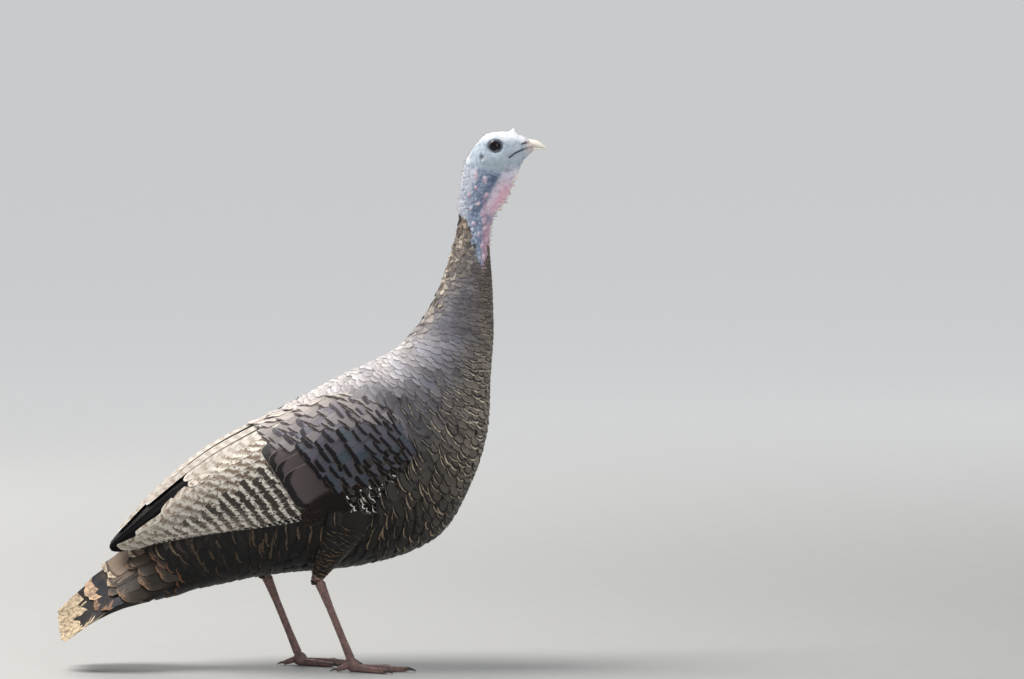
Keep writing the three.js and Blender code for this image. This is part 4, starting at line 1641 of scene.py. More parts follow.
    def quill_row(self, coat: Coat, sheet: Sheet, row: WingRow, roots: tuple, tips: tuple, count: int,
                  width: Pair, level: Pair, strip: int, roll: float = 1.1) -> None:
        """Lays a fan of quills between two lines of places (across, along).

        Args:
            coat: Where they go.
            sheet: The wing's outside.
            row: Their colours.
            roots, tips: The first and the last root and tip.
            count: How many.
            width: The first and last width in millimetres.
            level: How far the first and last lie under the outside.
            strip: Their first strip of the texture map, where quills stand side by side.
            roll: How far the lower edge stands up.
        """
        t = np.linspace(0, 1, count)[:, None]
        root, tip = (mix(np.array(ends[0]), np.array(ends[1]), t) for ends in (roots, tips))
        path = mix(root[:, None], tip[:, None], np.asarray(QUILL_VANE.along)[None, :, None])
        lies = mix(*level, t[:, 0])
        ends = sheet.read(tip[:, 0], tip[:, 1])[0] @ np.array(self.bar_way)
        marks = replace(row.value.marks(coat.rng, count), phase=(
            coat.rng.normal(0, row.value.stray, count) - ends / row.value.period) % 1)
        patch = [[(k + strip) / self.strips, 0, 0.86 / self.strips, 1] for k in range(count)]
        coat.grow(sheet, Plumes(root[:, 0], root[:, 1], np.ones(count), mix(*width, t[:, 0]), marks,
                                sink=lies + 2.0, proud=-lies, roll=roll), QUILL_VANE, path, np.array(patch))

    def tiled(self, coat: Coat, sheet: Sheet, tiles: Tiles) -> None:
        """Lays rows of coverts like tiles.

        Args:
            coat: Where they go.
            sheet: The wing's outside.
            tiles: The rows.
        """
        i, j = np.meshgrid(np.arange(tiles.rows), np.arange(tiles.columns), indexing="ij")
        i, j, rng = i.ravel()[::-1], j.ravel(), coat.rng
        jitter = rng.uniform(-0.12, 0.12, (2, i.size))
        jitter[0] += rng.uniform(-0.5, 0.5, (tiles.rows, tiles.columns))[i, j // tiles.pair] * tiles.uneven
        v = mix(*tiles.along, (i + jitter[0]) / (tiles.rows - 1))
        u = mix(*tiles.across, (j + 0.5 * (i % 2) + jitter[1]) / (tiles.columns - 1))
        v = v - tiles.slant * (u - tiles.across[0])
        marks = tiles.row.value.marks(rng, i.size)
        low = ((j + 0.5 * (i % 2)) / tiles.columns)[:, None]
        # partly painted highlight: the feathers nearest the back lean to the paler upper ground
        if tiles.upper:
            marks.ground = mix(linear(*tiles.upper), marks.ground, smooth(0, 0.7, low))
            marks.dark = mix(0.3 * marks.ground, marks.dark, smooth(0, 0.35, low))
        for tint in tiles.tints:
            lean = rng.random(i.size)[:, None] ** 2 * smooth(0.05, 0.5, low)
            marks.ground = mix(marks.ground, linear(*tint), lean)
        coat.grow(sheet, Plumes(
            u, v, tiles.size[0] * rng.uniform(0.94, 1.08, i.size),
            tiles.size[1] * rng.uniform(0.92, 1.08, i.size), marks,
            turn=tiles.turn + rng.normal(0, 0.05, i.size), sink=tiles.level[0], proud=tiles.level[1],
            roll=rng.normal(0.25, 0.15, i.size), sweep=rng.normal(0, 0.06, i.size)), tiles.shape)

    def greater(self, coat: Coat, sheet: Sheet) -> None:
        """The large bronze coverts, each ending in a broad dark band; each lies over the one above it.

        Args:
            coat: Where they go.
            sheet: The wing's outside.
        """
        t = np.linspace(0, 1, 4)
        coat.grow(sheet, Plumes(
            mix(0.36, 0.67, t), mix(0.335, 0.275, t), mix(72, 84, t), mix(42, 54, t),
            WingRow.GREATER.value.marks(coat.rng, 4), turn=mix(0.34, 0.24, t), sink=4.5,
            proud=mix(0.3, 0.2, t), roll=-0.9), SQUARE_VANE)


class TailRow(Enum):
    """The rows of the tail and how each is coloured."""
    RECTRIX = Dress((58, 47, 41), (214, 192, 160), (22, 18, 20), 27.0, 16.0)
    MAJOR = Dress((74, 60, 51), (210, 178, 146), (22, 24, 34), 14.0, 15.0)
    UPPER = Dress((134, 116, 99), (206, 190, 166), (74, 61, 52), 6.0, 3.0)
    UNDER = Dress((28, 23, 21), (118, 82, 56), (14, 12, 12), 2.6, 8.0)
    THIGH = Dress((30, 26, 24), (132, 106, 80), (13, 11, 11), 1.1, 3.0)


@dataclass(frozen=True)
class Tail:
    """The tail: eighteen broad quills, two rows of coverts over their roots, and the soft wedge below."""
    form: TailForm
    under: UndertailForm
    pairs: int = 9
    quill_width: float = 43

    def build(self, finish: Material, soft_finish: Material) -> None:
        """Makes the tail's pieces.

        Args:
            finish: The quills' and coverts' material.
            soft_finish: The undertail's material.
        """
        sheet = self.form.sheet()
        coat = Coat(SEED + 21)
        self.rectrices(coat, sheet)
        self.coverts(coat, sheet)
        coat.write("tail_quills", "tail_feathers", finish, "tail")
        coat = Coat(SEED + 22)
        self.undertail(coat)
        coat.write("tail_undercoverts", "tail_feathers", soft_finish, "tail")

    def rectrices(self, coat: Coat, sheet: Sheet) -> None:
        """The tail quills, the middle pair on top.

        Args:
            coat: Where they go.
            sheet: The tail's upper face.
        """
        order = np.arange(self.pairs)
        blunt = replace(QUILL_VANE, root=0.32, widest=0.7, blunt=2.3, camber=1.0)
        for sign in (1, -1):
            at = sign * (order + 0.35) / self.pairs
            roots = np.stack([at, np.full(self.pairs, 0.02)], -1)
            tips = np.stack([at, 1.0 - 0.012 * coat.rng.random(self.pairs)], -1)
            path = mix(roots[:, None], tips[:, None], np.asarray(QUILL_VANE.along)[None, :, None])
            patch = [[(k * 2 + (sign > 0)) / (2 * self.pairs), 0, 0.86 / (2 * self.pairs), 0.8]
                     for k in order]
            marks = TailRow.RECTRIX.value.marks(coat.rng, self.pairs)
            marks.ground = marks.ground * mix(1.0, 0.45, order[:, None] / self.pairs)
            marks.margin = marks.margin * mix(1.1, 0.35, order / self.pairs)
            coat.grow(sheet, Plumes(at, roots[:, 1], np.ones(self.pairs), self.quill_width, marks,
                                    sink=0.3 * order + 1, proud=-0.3 * order, roll=sign * 0.9),
                      blunt, path, np.array(patch))

    def coverts(self, coat: Coat, sheet: Sheet) -> None:
        """The major coverts and the shorter, paler ones over them.

        Args:
            coat: Where they go.
            sheet: The tail's upper face.
        """
        for row, root, length, width, count, level in (
                (TailRow.MAJOR, 0.34, 108, 32, 17, (2.0, 1.6)),
                (TailRow.UPPER, 0.30, 90, 28, 18, (2.4, 4.4)),
                (TailRow.UPPER, 0.15, 84, 26, 17, (2.0, 5.2)),
                (TailRow.UPPER, 0.02, 84, 25, 16, (1.6, 5.0))):
            at = np.linspace(-0.97, 0.97, count) + coat.rng.uniform(-0.015, 0.015, count)
            marks = row.value.marks(coat.rng, count, 0.1)
            aside = smooth(0.16, 0.42, np.abs(at))
            marks.margin = marks.margin * mix(1.0, 0.45, aside)
            marks.ground = marks.ground * mix(1.0, 0.13, aside)[:, None]
            marks.edge = mix(marks.edge, linear(124, 86, 60), 0.85 * aside[:, None])
            root_at = root + coat.rng.uniform(-0.015, 0.015, count)
            coat.grow(sheet, Plumes(
                at, root_at, length * mix(1, 0.66, np.abs(at) ** 1.5) * coat.rng.uniform(0.94, 1.05, count),
                width, marks, turn=coat.rng.normal(0, 0.04, count),
                sink=level[0], proud=level[1], roll=np.sign(at) * 0.5), FINE_VANE)

    def undertail(self, coat: Coat) -> None:
        """The soft dark coverts below, in rows like tiles.

        Args:
            coat: Where they go.
        """
        sheet = self.under.sheet()
        rng = coat.rng
        for row in range(11):
            v = mix(-0.3, 4.4, row / 10)
            count = 20 - row // 2
            u = (np.arange(count) + 0.5 * (row % 2) + rng.uniform(-0.15, 0.15, count)) / count % 1
            size = mix(34, 26, row / 10)
            coat.grow(sheet, Plumes(
                u, np.full(count, v), size * rng.uniform(0.9, 1.1, count), 17.0,
                TailRow.UNDER.value.marks(rng, count, 0.15), turn=rng.normal(0, 0.1, count), sink=3.0,
                proud=0.5, roll=rng.normal(0, 0.3, count)), SMALL_VANE)
# ------------------------------------------------------------------- bare parts

@dataclass(frozen=True)
class EyeForm:
    """The eyeball's place, and the lids about it, in millimetres."""
    x: float = 227.2
    y: float = 11.4
    z: float = 619.6
    radius: float = 7.0
    depth: float = 4.9
    opening: float = 5.7
    lid: float = 1.5

    def away(self, points: Array) -> Array:
        """How far each point lies from the lids' middle; the lids make an oval, wider than high."""
        return np.hypot((points[:, 0] - self.x) * 0.95, (points[:, 2] - self.z) * 1.12)

    def surface(self, away: Array) -> Array:
        """How far out the ball's surface lies at a distance from its axis."""
        return self.y + self.depth * np.sqrt(np.clip(1 - (away / self.radius) ** 2, 0, 1))


@dataclass(frozen=True)
class Head:
    """The head's and neck's relief and tints. Places are (x, z), seen from the side.

    Attributes:
        side_warts: The tall warts: place, half width, half height and lean in degrees.
        swells: Soft mounds: height, place and radii.
    """
    eye: EyeForm = EyeForm()
    gape: Rows = ((244.2, 605.8), (250.8, 611), (257.5, 613.9), (263.8, 616.2), (271, 617.6))
    nostril: Rows = ((258.8, 621.4), (262.5, 622.8), (266.8, 622.2))
    ear: Pair = (211.4, 605.7)
    snood: Pair = (248.6, 632.6)
    side_warts: Rows = (
        (215.3, 579.5, 2.4, 5.6, 12), (205, 585, 2.2, 6.4, 8), (217, 561.5, 2.6, 4.0, -35),
        (207.5, 551.5, 2.4, 3.0, -20), (212, 539.8, 2.6, 3.8, -35), (214.5, 531.5, 2.4, 4.6, -25),
        (202, 528, 3.0, 2.6, 60), (215.5, 522.5, 2.2, 3.6, -30), (217.5, 510, 2.6, 3.8, -30),
        (211.8, 501.5, 2.4, 3.6, -10), (213.5, 489, 2.2, 4.8, -10), (196.5, 562, 2.0, 2.8, 10),
        (199, 545, 2.0, 2.6, 0), (205, 570, 1.9, 3.0, 20), (221, 548, 2.0, 3.2, -30),
        (208, 515, 2.0, 3.0, -15))
    throat_edge: Rows = (
        (259, 593), (252, 580), (245.5, 567.5), (239.5, 555.5), (233, 545), (227.5, 535), (224, 523),
        (222.5, 510), (223, 497))
    swells: Rows = (
        (1.5, 233, 602, 13, 9), (0.9, 226, 630.5, 14, 3), (-0.8, 241, 619, 6.5, 7), (0.5, 262, 626, 8, 3))

    def relief(self, points: Array) -> Array:
        """How far out the skin moves.

        Args:
            points: Places on the skin.

        Returns:
            Heights in millimetres.
        """
        x, y, z = points.T
        sides, gape, nose = np.abs(y) > 2, np.array(self.gape), np.array(self.nostril)
        out = np.zeros(len(points))
        for height, *place in self.swells:
            out += height * bump(points[:, ::2], place[:2], place[2:])
        out -= 1.7 * groove(points, gape, 1.7)
        below, above = gape + (0.4, -2.3), gape + (-0.9, 2.2)
        out += 0.55 * groove(points, below, 1.8) + 0.45 * groove(points, above, 1.8)
        out -= 2.1 * groove(points, nose, 1.35) * sides
        out += 0.7 * groove(points, nose + (0, 2.0), 1.7) * sides
        away = self.from_ear(x, z)
        out += -1.7 * (1 - smooth(0.5, 3.2, away)) + 0.7 * np.exp(-((away - 4.2) / 1.3) ** 2)
        away = np.hypot(x - 234, z - 604)  # from the middle of the wrinkles that ring the cheek
        sector = smooth(-0.1, 0.4, (-(x - 234) * 0.5 - (z - 604) * 0.86) / np.maximum(away, 1e-6))
        band = smooth(14, 17, away) * (1 - smooth(27, 31, away))
        out += -0.65 * sector * band * np.sin((away - 14) * 2 * math.pi / 4.1) ** 3
        out += 1.7 * self.wart_field(points) + 5.6 * self.edge_field(points) * smooth(600, 575, z)
        bare = smooth(600, 582, z + 0.35 * (x - 225)) * 0.9
        dome, luck = self.stones(points)
        warts = (0.35 + 1.25 * luck ** 2) * smooth(0.0, 0.55, dome)
        return out + bare * (warts + 0.2 * ripple(points, 3.1, 4))

    def from_ear(self, x: Array, z: Array) -> Array:
        """How far each point lies from the ear's opening."""
        return np.hypot(x - self.ear[0], (z - self.ear[1]) * 0.8)

    def wart_field(self, points: Array) -> Array:
        """The tall warts.

        Args:
            points: Places on the skin.

        Returns:
            Their share there, from 0 to 1.
        """
        x, y, z = points.T
        total = np.zeros(len(points))
        for wx, wz, short, tall, lean in self.side_warts:
            c, s = math.cos(math.radians(lean)), math.sin(math.radians(lean))
            across, up = (x - wx) * c + (z - wz) * s, -(x - wx) * s + (z - wz) * c
            wart = np.exp(-(np.abs(across / short) ** 2.4 + np.abs(up / tall) ** 2.4) * 1.6)
            total = np.maximum(total, wart * smooth(4, 8, np.abs(y)))
        return total

    def edge_field(self, points: Array) -> Array:
        """The small warts along the throat's front edge.

        Args:
            points: Places on the skin.

        Returns:
            Their share there, from 0 to 1.
        """
        rng = np.random.default_rng(SEED + 5)
        total = np.zeros(len(points))
        for k, (x, z) in enumerate(through(self.throat_edge, np.linspace(0, len(self.throat_edge) - 1, 21))):
            spans = ((-4.2, -2.4), (2.4, 4.2)) if k % 2 else ((-0.8, 0.8),)
            for y in [rng.uniform(*span) for span in spans]:
                size = rng.uniform(1.9, 2.6)
                wart = bump(points, (x, y, z), (size * 4, size, size))
                total = np.maximum(total, wart * rng.uniform(0.6, 1))
        return total

    def stones(self, points: Array) -> tuple[Array, Array]:
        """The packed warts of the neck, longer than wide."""
        return cobbles(points * [1, 1, 0.72], 4.2, 7)

    def set_eye(self, points: Array) -> Array:
        """Makes the lids and the socket round each eye.

        Args:
            points: The skin after its relief.

        Returns:
            The points, moved sideways.
        """
        e, away, plain = self.eye, self.eye.away(points), np.abs(points[:, 1])
        near = (plain > 5) & (away < 13)
        ball = e.surface(np.minimum(np.hypot(points[:, 0] - e.x, points[:, 2] - e.z), e.opening + e.lid))
        rim = ball + 0.5 + 0.35 * np.sin(np.clip((away - e.opening) / e.lid, 0, 1) * math.pi)
        crease = -0.55 * np.exp(-((away - e.opening - e.lid - 0.9) / 0.7) ** 2)
        brow = 0.5 * np.exp(-((away - 9.3) / 1.2) ** 2) * smooth(0, 5, points[:, 2] - e.z)
        outside = mix(rim, plain, smooth(e.opening + e.lid, 11.5, away)) + crease + brow
        lids = mix(e.surface(away) - 2.6, outside, smooth(e.opening - 0.75, e.opening, away))
        moved = points.copy()
        moved[near, 1] = (np.sign(points[:, 1]) * np.where(away < e.opening, lids, outside))[near]
        return moved

    def tint(self, points: Array) -> tuple[Array, Array]:
        """The bare skin's colour, with painted shade in its creases, slits and round the eyes, and how warty
        it is.

        Args:
            points: Places on the skin.

        Returns:
            Colours, and shares from 0 to 1.
        """
        x, y, z = points.T
        flat, wide = points[:, ::2], np.abs(y)
        crown = smooth(-4, 6, z - (627.5 - 0.1 * np.abs(x - 228)) + 0.55 * np.minimum(x - 212, 0) * -1)
        neck = smooth(594, 582, z + 0.3 * (x - 225))
        dome, luck = self.stones(points)
        front = through(self.throat_edge, np.linspace(0, len(self.throat_edge) - 1, 60))
        behind = np.interp(z, front[::-1, 1], front[::-1, 0]) - x
        throat = smooth(25, 17, behind) * smooth(600, 585, z) * smooth(530, 553, z)
        slate = 0.6 * smooth(8, 3, np.abs(behind - 27)) * smooth(592, 580, z) * smooth(528, 545, z)
        red = smooth(2.5, 0, np.abs(x - 215) - 1.5) * smooth(570, 545, z) * smooth(4, 8, wide)
        warts = self.wart_field(points)
        rosy = smooth(-0.6, 0.9, ripple(points * [0.3, 0.3, 1], 26, 12))
        away = self.eye.away(points)
        lid = (1 - smooth(self.eye.opening + 1.3, self.eye.opening + 2.6, away)) * (wide > 5)
        spots = ((198.8, 606.5), (201.2, 594.7), (189.6, 567.0), (214, 598), (205, 618))
        colour = np.tile(linear(171, 183, 194), (len(points), 1))
        for share, over in (
                (0.85 * crown * smooth(600, 612, z), (240, 240, 243)),
                (0.9 * smooth(201, 193, x) * smooth(560, 575, z), (214, 216, 222)),
                (0.55 * bump(flat, (229, 600), (13, 9)), (156, 172, 170)),
                (0.5 * bump(flat, (246, 622), (10, 7)), (168, 180, 194)),
                (neck, (164, 179, 202)),
                (0.85 * neck * smooth(0.2, 0.6, dome) * smooth(0.25, 0.9, luck), (214, 217, 226)),
                (0.7 * neck * smooth(0.24, 0.04, dome), (98, 110, 136)),
                (0.4 * neck * smooth(0.2, 1.3, ripple(points, 9, 8)), (118, 130, 158)),
                (0.7 * neck * smooth(16, 5, x - mix(185, 196, smooth(550, 590, z))), (216, 218, 226)),
                # the slate band is the skin's own colour; the mound at (226, 580) is painted shade in the
                # crease between cheek and throat
                (slate + 0.6 * bump(flat, (226, 580), (8, 5)), (92, 108, 140)),
                (0.8 * throat, (232, 224, 234)),
                (0.85 * throat * smooth(588, 570, z) * smooth(24, 16, behind), (250, 224, 237)),
                (0.75 * throat * smooth(580, 562, z) * smooth(15, 8, behind), (252, 186, 206)),
                (0.8 * smooth(14, 5, behind) * smooth(540, 520, z), (232, 180, 197)),
                (0.5 * throat * smooth(4, 1, behind), (240, 216, 208)),
                (0.35 * red, (206, 146, 160)),
                (0.9 * smooth(0.15, 0.5, warts), (228, 206, 218)),
                (0.7 * smooth(0.4, 0.8, warts) * rosy, (232, 170, 194)),
                (0.95 * smooth(0.03, 0.12, self.edge_field(points)) * smooth(598, 580, z), (250, 240, 226)),
                # painted shade: darker grey-green under the jaw, where the throat's underside turns away
                # from the light
                (0.6 * bump(flat, (241, 591), (10, 5)), (112, 126, 126)),
                # painted shade: near black along the slit of the gape
                (0.98 * groove(points, self.gape, 1.8), (24, 22, 28)),
                *((0.7 * bump(flat, spot, (1.3, 1.7)), (84, 80, 80)) for spot in spots),
                (0.55 * (1 - smooth(1.0, 3.4, self.from_ear(x, z))) * (wide > 6), (112, 96, 88)),
                # painted shade: darker grey-blue skin in the socket round the eye
                (0.45 * (1 - smooth(7.5, 12, away)) * (wide > 5), (128, 132, 146)),
                (0.96 * lid, (26, 20, 20)),
                (0.7 * smooth(258, 267, x) * smooth(608, 614, z) * (1 - lid), (216, 198, 190)),
                # painted shade: near black inside the nostril's opening
                (groove(points, self.nostril, 1.25) * (wide > 2), (18, 16, 20))):
            colour = mix(colour, linear(*over), np.clip(share, 0, 1)[:, None])
        return colour, np.clip(neck * 0.9 + 0.15, 0, 1) * (1 - lid)


@dataclass(frozen=True)
class Skin:
    """One skin over head, neck, trunk, thighs, shanks and toes, lying under the feathers by their depth."""
    line: BodyLine = BodyLine()
    head: Head = Head()
    sides: int = 184
    head_step: float = 0.6
    neck_step: float = 0.85
    body_step: float = 9.0
    depths: Pair = (2.6, 8.0)
    head_height: float = 455
    even: float = 0.95

    def stations(self, sheet: Sheet) -> Array:
        """The rings' places from bill to rump, close together on the head.

        Args:
            sheet: The coat's outside.

        Returns:
            The places along v.
        """
        v = np.linspace(0, 19, 3801)
        pace = np.mean([np.linalg.norm(sheet.read(np.full_like(v, u), v)[3], axis=-1)
                        for u in (0, 0.25, 0.5, 0.75)], 0)
        wanted = mix(self.head_step, self.neck_step, smooth(3.2, 5.0, v))
        wanted = mix(wanted, self.body_step, smooth(9.4, 11.2, v))
        run = np.concatenate([[0], np.cumsum((pace / wanted)[1:] * np.diff(v))])
        return np.interp(np.linspace(0, run[-1], int(run[-1])), run, v)

    def body(self) -> tuple[Array, list[Array], Array]:
        """Head, neck and trunk as one closed tube.

        Returns:
            Its points, its faces and a texture place for each point.
        """
        sheet = self.line.sheet()
        v, u = np.meshgrid(self.stations(sheet), np.arange(self.sides) / self.sides, indexing="ij")
        point, out, _, _ = sheet.read(u, v)
        bared = v - bare_until(u)
        depth = mix(self.depths[0] * smooth(-0.1, 1.0, bared), self.depths[1], smooth(11.0, 13.5, v))
        flat = (point - out * depth[..., None]).reshape(-1, 3)
        face = flat[:, 2] > self.head_height
        relief = np.zeros(len(flat))
        relief[face] = self.head.relief(flat[face])
        relief *= 1 - smooth(0.2, 1.0, bared.ravel())
        relief *= smooth(0, 0.12, v.ravel())
        flat = flat + out.reshape(-1, 3) * relief[:, None]
        x, z = self.head.snood  # the small horn-like snood is drawn up out of the forehead
        away = np.hypot(flat[:, 0] - x, flat[:, 1] * 1.1)
        height = 5.6 * np.exp(-((away / 3.5) ** 1.7)) * (flat[:, 2] > z - 9)
        flat[:, 2] += height
        flat[:, 0] += 0.18 * height
        flat[face] = self.head.set_eye(flat[face])
        places = np.stack([u.ravel(), np.interp(v.ravel(), [0, 9.5, 19], [0.98, 0.42, 0.26])], -1)
        return *tube(flat.reshape(point.shape)), np.concatenate([places, [[0.5, 0.99], [0.5, 0.255]]])

    def lower_leg(self, leg: LegForm) -> Piece:
        """A shank and its foot, grown together by a fine remesh.

        Args:
            leg: The leg.

        Returns:
            A working object.
        """
        ball, hock, _ = leg.points
        at, radius = np.array(leg.shank_stops).T
        t = np.linspace(at[0], at[-1], 40)
        size = np.maximum(np.interp(t, at, radius) - 0.15, 2.0)
        angle = np.linspace(0.12, math.pi - 0.12, 16)[:, None]
        turn = np.linspace(0, 2 * math.pi, 24, endpoint=False)[None]
        knob = ball + np.stack([8.2 * np.sin(angle) * np.cos(turn), 7.4 * np.sin(angle) * np.sin(turn),
                                -8.2 * np.cos(angle) + 0 * turn], -1)
        parts = [tube(limb(ball + t[:, None] * (hock - ball), size, 0.88, 28, LEFT)), tube(knob)]
        t = np.linspace(0, 1, 30)
        for toe in TOES.values():
            root, end = leg.toe_line(toe)
            joints = 3 if toe.length > leg.short_toe else 2
            swell = 0.32 * np.cos(t * 2 * math.pi * joints) * smooth(0, 0.15, t)
            size = mix(toe.root, toe.tip, t) + swell - 0.2
            size *= np.sqrt(np.clip(1 - smooth(0.8, 1.06, t) * 0.85, 0.1, 1))
            path = root + t[:, None] * (end - root)
            path[:, 2] = np.maximum(path[:, 2], size * 0.86 - 0.3)
            parts.append(tube(limb(path, size, 0.9, 20, UP)))
        points, faces = joined(parts)
        points[:, 2] = np.maximum(points[:, 2], 0.25)
        lower = mesh_piece(f"leg_work_{leg.side}", points, faces)
        remesh = lower.modifiers.new("even", "REMESH")
        remesh.mode = "VOXEL"
        remesh.voxel_size = self.even * METRE
        soften = lower.modifiers.new("soften", "SMOOTH")
        soften.iterations = 4
        soften.factor = 0.5
        return plain_copy(f"leg_lower_{leg.side}", lower)

    @staticmethod
    def thigh(leg: LegForm, inset: float = 3.2) -> Array:
        """The thigh's rings.

        Args:
            leg: The leg.
            inset: How far they lie under the feathers.

        Returns:
            The rings.
        """
        _, hock, knee = leg.points
        at, radius = np.array(leg.thigh_stops).T
        t = np.linspace(at[0], at[-1], 26)
        size = np.maximum(np.interp(t, at, radius) - inset * smooth(0.0, 0.2, t), 2.0)
        return limb(hock + t[:, None] * (knee - hock), size, 0.86, 32, LEFT)

    def build(self, *finishes: Material) -> Piece:
        """Joins body, thighs and legs into one skin and colours it.

        Args:
            *finishes: The materials of bare skin, of feathered skin and of the scaled legs.

        Returns:
            The skin.
        """
        points, faces, places = self.body()
        skin = mesh_piece("skin_work", points, faces, bake=places)
        for side in SIDES.values():
            leg = LegForm(side)
            lower = self.lower_leg(leg)
            where = np.array([v.co for v in lower.data.vertices]) / METRE
            uv = (where - where.min(0)) / (where.max(0) - where.min(0))
            place = np.stack([0.02 + 0.48 * (side > 0) + 0.44 * uv[:, 0], 0.01 + 0.22 * uv[:, 2]], -1)
            corners = np.array([loop.vertex_index for loop in lower.data.loops])
            layer = lower.data.uv_layers.new(name="OFBake")
            layer.data.foreach_set("uv", place[corners].ravel().astype(np.float32))
            shape, faces = tube(self.thigh(leg))
            thigh = mesh_piece(f"thigh_work_{side}", shape, faces, bake=np.full((len(shape), 2), 0.245))
            for part in (thigh, lower):
                join = skin.modifiers.new("join", "BOOLEAN")
                join.operation = "UNION"
                join.solver = "MANIFOLD"
                join.object = part
                skin = plain_copy("skin_grown", skin, part)
        skin.name = skin.data.name = "skin"
        self.colour(skin.data, finishes)
        return settle(skin, "bare_skin", "trunk", "neck", "neck_bare", "head", "snood", *(
            f"{part}_{side}" for part in ("thigh", "shank", "foot") for side in SIDES))

    def colour(self, mesh: bpy.types.Mesh, finishes: tuple[Material, ...]) -> None:
        """Writes the tints and gives each face its finish.

        Args:
            mesh: The skin.
            finishes: The materials of bare skin, of feathered skin and of the scaled legs.
        """
        points = vertices_of(mesh)
        tint, warty = self.head.tint(points)
        feathered = feather_line(points)
        cover = mix(linear(104, 100, 98), linear(46, 38, 34), smooth(470, 300, points[:, 2])[:, None])
        tint = mix(tint, cover, feathered[:, None])
        paint(mesh, {"tint": np.append(tint, np.ones((len(tint), 1)), 1), "warty": warty * (1 - feathered)})
        mesh.materials.clear()
        for finish in finishes:
            mesh.materials.append(finish)
        middle = np.empty(len(mesh.polygons) * 3, np.float32)
        mesh.polygons.foreach_get("center", middle)
        middle = middle.reshape(-1, 3) / METRE
        kinds = (feather_line(middle) > 0.5).astype(np.int32)
        low = middle[:, 2] < 126
        kinds[low] = np.where(leg_zone(middle[low]), 2, 1)
        mesh.polygons.foreach_set("material_index", kinds)
        mesh.shade_smooth()
        mesh.set_sharp_from_angle(angle=math.radians(80))


def feather_line(points: Array) -> Array:
    """How feathered the skin is at each point: 0 on head and bare neck, 1 on the body."""
    edge_x, edge_z = (184, 187, 191, 199.6, 208, 214, 219, 222), (543, 541, 534, 502, 489, 477, 488, 497)
    height = np.interp(points[..., 0], edge_x, edge_z)
    return smooth(1, -9, points[..., 2] - height)


def leg_zone(points: Array) -> Array:
    """Finds the scaled shanks and toes.

    Args:
        points: Places on the skin.

    Returns:
        Which of them belong to the legs.
    """
    found = np.zeros(len(points), bool)
    for side in SIDES.values():
        ball, hock, _ = LegForm(side).points
        t = np.clip((points - ball) @ (hock - ball) / np.sum((hock - ball) ** 2), 0, 1.02)
        near = np.linalg.norm(points - ball - t[:, None] * (hock - ball), axis=1) < 11
        here = (np.abs(points[:, 1] - ball[1]) < 60) & (np.sign(points[:, 1]) == side)
        found |= near | ((points[:, 2] < 14) & here)
    return found


def plain_copy(name: str, piece: Piece, *used_up: Piece) -> Piece:
    """The evaluated object as a plain mesh in a new object.

    Args:
        name: The new object's name.
        piece: The object with its live modifiers. It is removed.
        *used_up: More objects to remove.

    Returns:
        The new object.
    """
    bpy.context.view_layer.update()
    graph = bpy.context.evaluated_depsgraph_get()
    mesh = bpy.data.meshes.new_from_object(
        piece.evaluated_get(graph), preserve_all_data_layers=True, depsgraph=graph)
    mesh.name = name
    made = linked(name, mesh)
    piece.modifiers.clear()
    for old in (piece, *used_up):
        bpy.data.objects.remove(old)
    return made


@dataclass(frozen=True)
class Eye:
    """One eyeball."""
    side: str
    form: EyeForm = EyeForm()

    def build(self, finish: Material) -> None:
        """Makes the eye.

        Args:
            finish: Its material.
        """
        e = self.form
        angle = np.linspace(0.04, math.pi - 0.04, 40)[:, None]
        turn = np.linspace(0, 2 * math.pi, 56, endpoint=False)[None]
        away = e.radius * np.sin(angle) + 0 * turn
        points, faces = tube(np.stack([e.x + away * np.cos(turn), SIDES[self.side] * (
            e.y + e.depth * np.cos(angle)) + 0 * turn, e.z + away * np.sin(turn)], -1))
        gaze = np.hypot(points[:, 0] - e.x, points[:, 2] - e.z) / e.opening
        ball = mesh_piece(f"eyeball_{self.side}", points, faces, finish, {"gaze": gaze})
        settle(ball, "eye", f"eye_{self.side}")


@dataclass(frozen=True)
class Bill:
    """The horn of both jaws, as slices from base to tip: x and z of top and bottom, and the half width."""
    upper: Rows = (
        (262, 627.8, 266.5, 618.4, 6.6), (266.5, 626.9, 269, 618.9, 6.5), (272, 626.2, 273.8, 618.2, 5.9),
        (277.5, 624.7, 278.5, 617.3, 5), (282.5, 621.9, 283, 616.7, 3.8),
        (286.5, 618.3, 286.3, 615.2, 2.4), (289, 614.9, 288.8, 613.4, 0.8))
    lower: Rows = (
        (263, 617.6, 264, 612.4, 6), (268, 618.3, 269, 613.4, 5.7), (273.5, 617.6, 274.5, 613.9, 4.9),
        (279, 616.9, 279.6, 614.2, 3.8), (283.4, 616.2, 283.8, 614.6, 2.4),
        (285.8, 615.3, 285.9, 614.5, 0.9))

    def build(self, finish: Material) -> None:
        """Makes both jaws. A peak or base of 2 is a round upper or lower half, and less is a keeled one.

        Args:
            finish: Their material.
        """
        rows, sides = 44, 40
        for name, slices, peak, base in (("upper", self.upper, 1.75, 2.5), ("lower", self.lower, 2.6, 1.9)):
            t = np.linspace(0, 1, rows)
            tx, tz, bx, bz, half = np.moveaxis(through(slices, t * (len(slices) - 1)), -1, 0)
            angle = np.linspace(0, 2 * math.pi, sides, endpoint=False)
            c, s = np.cos(angle)[None], np.sin(angle)[None]
            power = np.where(c > 0, 2 / peak, 2 / base)
            middle = np.stack([(tx + bx) / 2, 0 * tx, (tz + bz) / 2], -1)[:, None]
            lift = np.stack([(tx - bx) / 2, 0 * tx, (tz - bz) / 2], -1)[:, None]
            rings = middle + (np.sign(c) * np.abs(c) ** power)[..., None] * lift
            rings[..., 1] += np.sign(s) * np.abs(s) ** power * half[:, None]
            points, faces = tube(rings)
            along = {"along": np.concatenate([np.repeat(t, sides), [0, 1]])}
            settle(mesh_piece(f"horn_{name}", points, faces, finish, along), "bill", f"bill_{name}")


